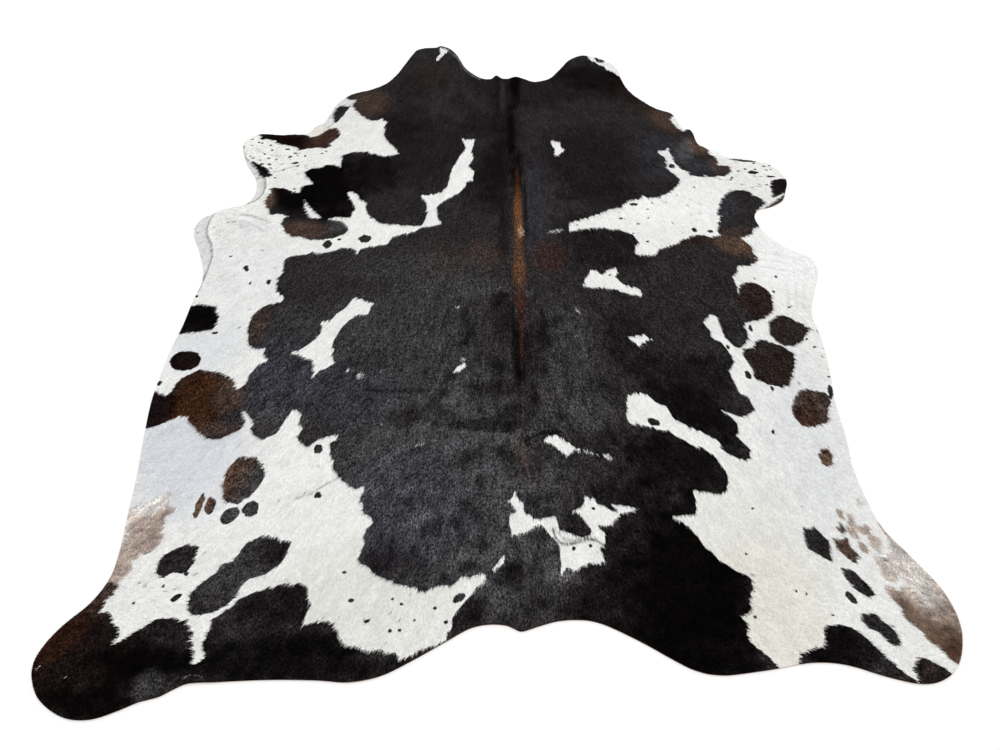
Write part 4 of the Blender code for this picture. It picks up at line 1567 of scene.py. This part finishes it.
def make_object(name: str, places: Array, faces: Array) -> Piece:
    """Put a mesh of triangles into the scene.

    Args:
        name: The piece's name.
        places: Its points.
        faces: Its triangles, as point numbers.

    Returns:
        The new object.
    """
    mesh = bpy.data.meshes.new(name)
    mesh.vertices.add(len(places))
    mesh.vertices.foreach_set("co", packed(places))
    mesh.loops.add(len(faces) * 3)
    mesh.loops.foreach_set("vertex_index", packed(faces, np.int32))
    mesh.polygons.add(len(faces))
    mesh.polygons.foreach_set("loop_start", np.arange(0, len(faces) * 3, 3, dtype=np.int32))
    mesh.update(calc_edges=True)
    mesh.validate()
    piece = bpy.data.objects.new(name, mesh)
    bpy.context.scene.collection.objects.link(piece)
    return piece


def store(piece: Piece, name: str, values: Array) -> None:
    """Store one value for each point of a piece.

    Args:
        piece: The piece.
        name: Name that the values are stored under.
        values: A number or a colour for each point.
    """
    if values.ndim == 1:
        piece.data.attributes.new(name, "FLOAT", "POINT").data.foreach_set("value", packed(values))
        return
    opaque = np.concatenate([values, np.ones((len(values), 1))], axis=1)
    piece.data.attributes.new(name, "FLOAT_COLOR", "POINT").data.foreach_set("color", packed(opaque))


def lay_out(piece: Piece, low: Array, size: Array) -> None:
    """Give a piece a flat plan layout for its surface maps.

    Args:
        piece: The piece.
        low: Plan corner that the layout starts at.
        size: Width and length that fill the layout.
    """
    mesh = piece.data
    places = np.empty(len(mesh.vertices) * 3, dtype=np.float32)
    mesh.vertices.foreach_get("co", places)
    corners = np.empty(len(mesh.loops), dtype=np.int32)
    mesh.loops.foreach_get("vertex_index", corners)
    plan = (places.reshape(-1, 3)[corners, :2] - low) / size
    mesh.uv_layers.new(name="OFBake").data.foreach_set("uv", packed(plan))


class ClosedSheet:
    """A closed sheet between two heights over the hide's underside."""

    SHARP = 50.0

    def __init__(self, name: str, form: HideForm, heights: tuple[float, float], inset: float,
                 under: Array, over: Array) -> None:
        """Build the sheet.

        Args:
            name: The piece's name.
            form: The hide's form.
            heights: Its lower and upper side's heights over the hide's underside.
            inset: How far it stops short of the rim.
            under: Corners of its lower side's triangles, in plan.
            over: Corners of its upper side's triangles, in plan.
        """
        ring = form.ring(inset)
        lower, lower_faces = form.divide(ring, under)
        upper, upper_faces = form.divide(ring, over)
        count = len(lower)
        sides = [stack(plan, form.height(*plan.T) + height) for plan, height in zip((lower, upper), heights)]
        here = np.arange(len(ring))
        after = np.roll(here, -1)
        walls = np.concatenate([stack(here, after, after + count), stack(here, after + count, here + count)])
        walls = walls if form.turn_of(ring) > 0.0 else walls[:, ::-1]
        faces = np.concatenate([upper_faces + count, lower_faces[:, ::-1], walls])
        self.x, self.y = np.concatenate([lower, upper]).T
        self.is_upper = np.arange(len(self.x)) >= count
        self.piece = make_object(name, np.concatenate(sides), faces)
        self.piece.data.shade_smooth()
        self.piece.data.set_sharp_from_angle(angle=math.radians(self.SHARP))


@dataclass
class Hide:
    """The leather with its dense under-hair."""

    form: HideForm
    markings: Markings
    leather_heights: tuple[float, float] = (0.0, 0.0022)
    hair_heights: tuple[float, float] = (0.0012, 0.0032)
    hair_inset: float = 0.0014
    flat_pitch: float = 0.018
    fold_pitch: float = 0.008
    hair_pitch: float = 0.0105
    border_pitch: float = 0.0036
    border_reach: float = 0.0034
    border_space: float = 0.3
    skin_blur: float = 0.004
    # the under-hair's colours are darkened: painted shade deep among the blades
    dark_depth: float = 0.8
    pale_depth: float = 0.9
    # how strongly the curls' painted light and shade break up the under-hair
    dark_curl_light: float = 0.9
    pale_curl_light: float = 0.10
    leather_finish: LeatherFinish = field(default_factory=LeatherFinish)
    hair_finish: UnderHairFinish = field(default_factory=UnderHairFinish)

    def build_leather(self) -> Piece:
        """Build the tanned skin.

        Returns:
            The leather piece.
        """
        corners = self.form.corners(self.flat_pitch, self.fold_pitch)
        sheet = ClosedSheet("hide_leather", self.form, self.leather_heights, 0.0, corners, corners)
        dark = soft_step(-self.skin_blur, self.skin_blur, self.markings.dark_depth.at(sheet.x, sheet.y))
        store(sheet.piece, "hair_side", sheet.is_upper * 1.0)
        store(sheet.piece, "dark_skin", sheet.is_upper * dark)
        sheet.piece.data.materials.append(self.leather_finish.make())
        return sheet.piece

    def hair_corners(self) -> Array:
        """Set out the under-hair's corners, closest together along the markings' borders.

        Returns:
            The plan points.
        """
        markings = self.markings
        coarse = self.form.corners(self.hair_pitch, self.fold_pitch)
        depth = np.maximum(markings.dark_depth.at(*coarse.T), markings.spots(*coarse.T))
        fine = self.form.lattice(self.border_pitch)
        on_border = np.abs(markings.dark_depth.at(*fine.T)) < self.border_reach
        by_spot = markings.spots(*fine.T) > -self.border_pitch
        plain = np.abs(depth) >= self.border_reach + self.border_space * self.hair_pitch
        return np.concatenate([coarse[plain], fine[on_border | by_spot]])

    def build_under_hair(self) -> Piece:
        """Build the dense under-hair on the leather.

        Returns:
            The under-hair piece.
        """
        form, markings = self.form, self.markings
        sheet = ClosedSheet("coat_under_hair", form, self.hair_heights, self.hair_inset,
                            form.corners(self.flat_pitch, self.fold_pitch), self.hair_corners())
        place = (sheet.x, sheet.y)
        depth = np.maximum(markings.darkness(*place), markings.spots(*place))
        # grain is the strength of the curls' painted light and shade
        grain = np.where(depth > 0.0, self.dark_curl_light * markings.liveliness(sheet.y), self.pale_curl_light)
        store(sheet.piece, "dark_depth", depth)
        store(sheet.piece, "dark_colour", self.dark_depth * markings.dark_colour(*place))
        store(sheet.piece, "pale_colour", self.pale_depth * markings.pale_colour(*place))
        store(sheet.piece, "hair_curl_light", grain)
        lay_out(sheet.piece, form.low[:2], (form.high - form.low)[:2])
        sheet.piece.data.materials.append(self.hair_finish.make())
        return sheet.piece


@dataclass
class Coat:
    """The laid hair: flat pointed blades that lean together in locks, in bands down the hide."""

    form: HideForm
    markings: Markings
    locks: Locks
    # the blades
    root_height: float = 0.0030
    root_spread: tuple[float, float] = (-0.0002, 0.0004)
    pitch: float = 0.00215
    length: float = 0.0108
    length_spread: float = 0.22
    length_range: tuple[float, float] = (0.4, 1.5)
    spot_share: float = 0.5
    width: float = 0.0013
    width_range: tuple[float, float] = (0.75, 1.25)
    lift: tuple[float, float] = (0.0003, 0.0017)
    roll: float = 0.34
    stray: float = 0.12
    lock_turn: float = 0.20
    gather: float = 0.45
    rim_gap: float = 0.0001
    # their colours
    shown_at: float = 0.5
    lock_share: float = 0.6
    border_blur: float = 0.0004
    spot_blur: float = 0.12
    speck_depth: float = 0.22
    # spread of the hairs' brightness: partly their own tone, partly painted glints
    dark_shine: float = 0.34
    faded_shine: float = 0.17
    pale_shine: float = 0.04
    lock_shine: float = 0.8
    own_shine: float = 0.6
    # how strongly the curls' painted light and shade break up each kind of hair
    dark_curl_light: float = 1.0
    faded_curl_light: float = 0.35
    pale_curl_light: float = 0.09
    # painted shade at the blades' roots and painted light at their tips
    root_shade: float = 0.82
    tip_highlight: float = 1.12
    seed: int = 5
    bands: tuple[str, ...] = ("coat_neck", "coat_shoulders", "coat_loin", "coat_rump")
    finish: HairFinish = field(default_factory=HairFinish)

    def roots(self, rng: np.random.Generator) -> Array:
        """Scatter the roots evenly over the hide.

        Args:
            rng: Source of the scatter.

        Returns:
            The roots in plan.
        """
        low, high = self.form.low, self.form.high
        net = np.meshgrid(*(np.arange(low[axis], high[axis], self.pitch) for axis in (0, 1)))
        x, y = (part.ravel() + rng.uniform(-0.5, 0.5, part.size) * self.pitch for part in net)
        return stack(x, y)[self.form.inside.at(x, y) > self.rim_gap]

    def is_dark(self, own: Array, lock: Array, rng: np.random.Generator) -> Array:
        """Say which hairs are dark.

        Args:
            own: Plan points that the hairs show at.
            lock: The points drawn towards the middles of their locks.
            rng: Source of the hairs' own differences.

        Returns:
            True for each dark hair.
        """
        count = len(own)
        dark = self.markings.darkness(*lock.T) > rng.normal(0.0, self.border_blur, count)
        dark |= self.markings.spots(*own.T) > rng.normal(0.0, self.border_blur, count)
        for spot, share in WHITE_SPOTS:
            near = oval(*own.T, spot) < 1.0 + rng.normal(0.0, self.spot_blur, count)
            dark &= ~(near & (rng.random(count) < share))
        return dark

    def colours(self, shown: Array, middle: Array, shine: Array, speck: Array,
                rng: np.random.Generator) -> tuple[Array, Array]:
        """Colour each hair, and say how strongly its curls' painted light and shade break it up.

        Args:
            shown: Plan points that the hairs show at.
            middle: The middles of their locks.
            shine: Their locks' shine.
            speck: Their locks' rank among the specks, 0 to 1.
            rng: Source of the hairs' own differences.

        Returns:
            One linear colour for each hair, and the strength of its painted curl light and shade.
        """
        markings = self.markings
        x, y = shown.T
        dark = self.is_dark(shown, shown + self.lock_share * (middle - shown), rng)
        colour = np.where(dark[:, None], markings.dark_colour(x, y), markings.pale_colour(x, y))
        for area, share in SPECKLED:
            colour[(oval(x, y, area) < 1.0) & ~dark & (speck < share)] *= self.speck_depth
        kinds = [dark, ~dark & markings.is_faded(x, y)]
        strong = markings.liveliness(y)
        spread = np.select(kinds, [self.dark_shine * strong, self.faded_shine], self.pale_shine)
        # each lock's and hair's brightness: partly its own tone, partly painted glints
        shine = self.lock_shine * shine + self.own_shine * rng.normal(0.0, 1.0, len(x))
        own = np.exp(spread * shine - 0.5 * spread ** 2)
        # grain is the strength of the curls' painted light and shade
        grain = np.select(kinds, [self.dark_curl_light * strong, self.faded_curl_light], self.pale_curl_light)
        return colour * own[:, None], grain

    def blades(self, root: Array, middle: Array, turn: Array,
               rng: np.random.Generator) -> tuple[Array, Array, Array]:
        """Lay a blade at each root.

        Args:
            root: The roots in plan.
            middle: The middles of the hairs' locks.
            turn: Their locks' turn.
            rng: Source of the hairs' own differences.

        Returns:
            The two root corners and the tip of each blade.
        """
        form = self.form
        count = len(root)
        heading = self.markings.lay.heading(*middle.T)
        heading = heading + self.lock_turn * turn + rng.normal(0.0, self.stray, count)
        away = stack(np.cos(heading), np.sin(heading))
        side = stack(-away[:, 1], away[:, 0])
        aside = ((middle - root) * side).sum(axis=1)
        length = self.length * np.clip(rng.normal(1.0, self.length_spread, count), *self.length_range)
        length = np.where(self.markings.spots(*root.T) > -self.length, self.spot_share * length, length)
        run = away * length[:, None] + side * (self.gather * aside)[:, None]
        here, there = (form.inside.at(*plan.T) for plan in (root, root + run))
        share = np.clip((here - self.rim_gap) / np.maximum(here - there, LEAST_RISE), 0.0, 1.0)
        tip = root + run * np.where(there < self.rim_gap, share, 1.0)[:, None]
        lift = rng.uniform(*self.lift, count)
        tip_height = form.height(*tip.T) + self.root_height + lift
        half = 0.5 * self.width * rng.uniform(*self.width_range, count)
        base = form.height(*root.T) + self.root_height + rng.uniform(*self.root_spread, count)
        roll = half * np.tan(rng.normal(0.0, self.roll, count).clip(-1.0, 1.0))
        side = side * half[:, None]
        return stack(root - side, base - roll), stack(root + side, base + roll), stack(tip, tip_height)

    def build(self) -> list[Piece]:
        """Build the coat's bands.

        Returns:
            The pieces, from the neck to the rump.
        """
        rng = np.random.default_rng(self.seed)
        root = self.roots(rng)
        middle, turn, shine, speck = self.locks.nearest(*root.T)
        right, left, tip = self.blades(root, middle, turn, rng)
        shown = root + (tip[:, :2] - root) * self.shown_at
        colour, grain = self.colours(shown, middle, shine, speck, rng)
        blades = np.stack([right, left, tip], axis=1)
        # painted shade at the roots, painted light at the tips
        shaded_colours = np.stack([colour * self.root_shade, colour * self.root_shade, colour * self.tip_highlight], axis=1)
        material = self.finish.make()
        pieces = []
        order = np.argsort(-root[:, 1], kind="stable")
        for name, hairs in zip(self.bands, np.array_split(order, len(self.bands))):
            places = blades[hairs].reshape(-1, 3)
            piece = make_object(name, places, np.arange(len(places)).reshape(-1, 3))
            store(piece, "hair_colour", shaded_colours[hairs].reshape(-1, 3))
            store(piece, "hair_curl_light", np.repeat(grain[hairs], 3))
            low = places[:, :2].min(axis=0)
            lay_out(piece, low, places[:, :2].max(axis=0) - low)
            piece.data.materials.append(material)
            pieces.append(piece)
            LOG.info("%s: %d hairs", name, len(hairs))
        return pieces


# ---------------------------------------------------------------- floor, light and camera


@dataclass
class Studio:
    """A pale floor, soft light from all round and from above, and the camera."""

    floor_size: float = 14.0
    floor_colour: Colour = (0.93, 0.93, 0.93)
    floor_roughness: float = 0.9
    sky_strength: float = 0.62
    sky_colour: Colour = (1.0, 1.0, 1.0)
    lens: float = 27.0
    sensor: float = 36.0
    camera_place: tuple[float, float, float] = (-0.007, -1.421, 1.70)
    camera_tilt: float = 33.1
    lamps: tuple[tuple[str, tuple[float, float, float], float, float], ...] = (
        ("overhead_softbox", (0.0, 0.9, 5.5), 6.0, 185.0),
        ("left_softbox", (-3.2, 0.9, 1.7), 1.6, 22.0),
        ("right_softbox", (3.2, 0.6, 2.0), 1.6, 17.0),
    )

    def build_floor(self) -> Piece:
        """Lay the floor.

        Returns:
            The floor.
        """
        half = self.floor_size / 2.0
        corners = np.array([(-half, -half, 0.0), (half, -half, 0.0), (half, half, 0.0), (-half, half, 0.0)])
        floor = make_object("studio_floor", corners, np.array([(0, 1, 2), (0, 2, 3)]))
        paint = Shader("studio_floor_paint", self.floor_roughness, 0.0)
        paint.feed(paint.surface, {"Base Color": (*self.floor_colour, 1.0)})
        floor.data.materials.append(paint.material)
        return floor

    def build_lights(self) -> None:
        """Hang the soft lights and set the room's own light."""
        world = bpy.data.worlds.new("studio_room")
        world.use_nodes = True
        room = world.node_tree.nodes["Background"]
        room.inputs["Color"].default_value = (*self.sky_colour, 1.0)
        room.inputs["Strength"].default_value = self.sky_strength
        bpy.context.scene.world = world
        for name, place, size, power in self.lamps:
            data = bpy.data.lights.new(name, "AREA")
            data.shape = "SQUARE"
            data.size = size
            data.energy = power
            lamp = bpy.data.objects.new(name, data)
            lamp.location = place
            lamp.rotation_euler = (-Vector(place)).to_track_quat("-Z", "Y").to_euler()
            bpy.context.scene.collection.objects.link(lamp)

    def build_camera(self) -> None:
        """Stand the camera at the foot of the hide, looking down over it."""
        data = bpy.data.cameras.new("camera")
        data.lens = self.lens
        data.sensor_width = self.sensor
        camera = bpy.data.objects.new("camera", data)
        camera.location = self.camera_place
        camera.rotation_euler = (math.radians(self.camera_tilt), 0.0, 0.0)
        bpy.context.scene.collection.objects.link(camera)
        bpy.context.scene.camera = camera
        bpy.context.scene.view_settings.view_transform = "Standard"


def main() -> None:
    """Dress the hide and light it."""
    logging.basicConfig(level=logging.INFO, format="%(message)s")
    studio = Studio()
    studio.build_camera()
    studio.build_lights()
    studio.build_floor()
    form = HideForm(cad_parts["hide"])
    LOG.info("rim: %d points", len(form.rim))
    lay = HairLay()
    markings = Markings(form.net, lay)
    hide = Hide(form, markings)
    leather = hide.build_leather()
    coat = [hide.build_under_hair(), *Coat(form, markings, Locks(lay)).build()]
    for piece in (leather, *coat):
        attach(piece, "root")
        LOG.info("%s: %d triangles", piece.name, len(piece.data.polygons))
    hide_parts("hide")


if __name__ == "__main__":
    main()
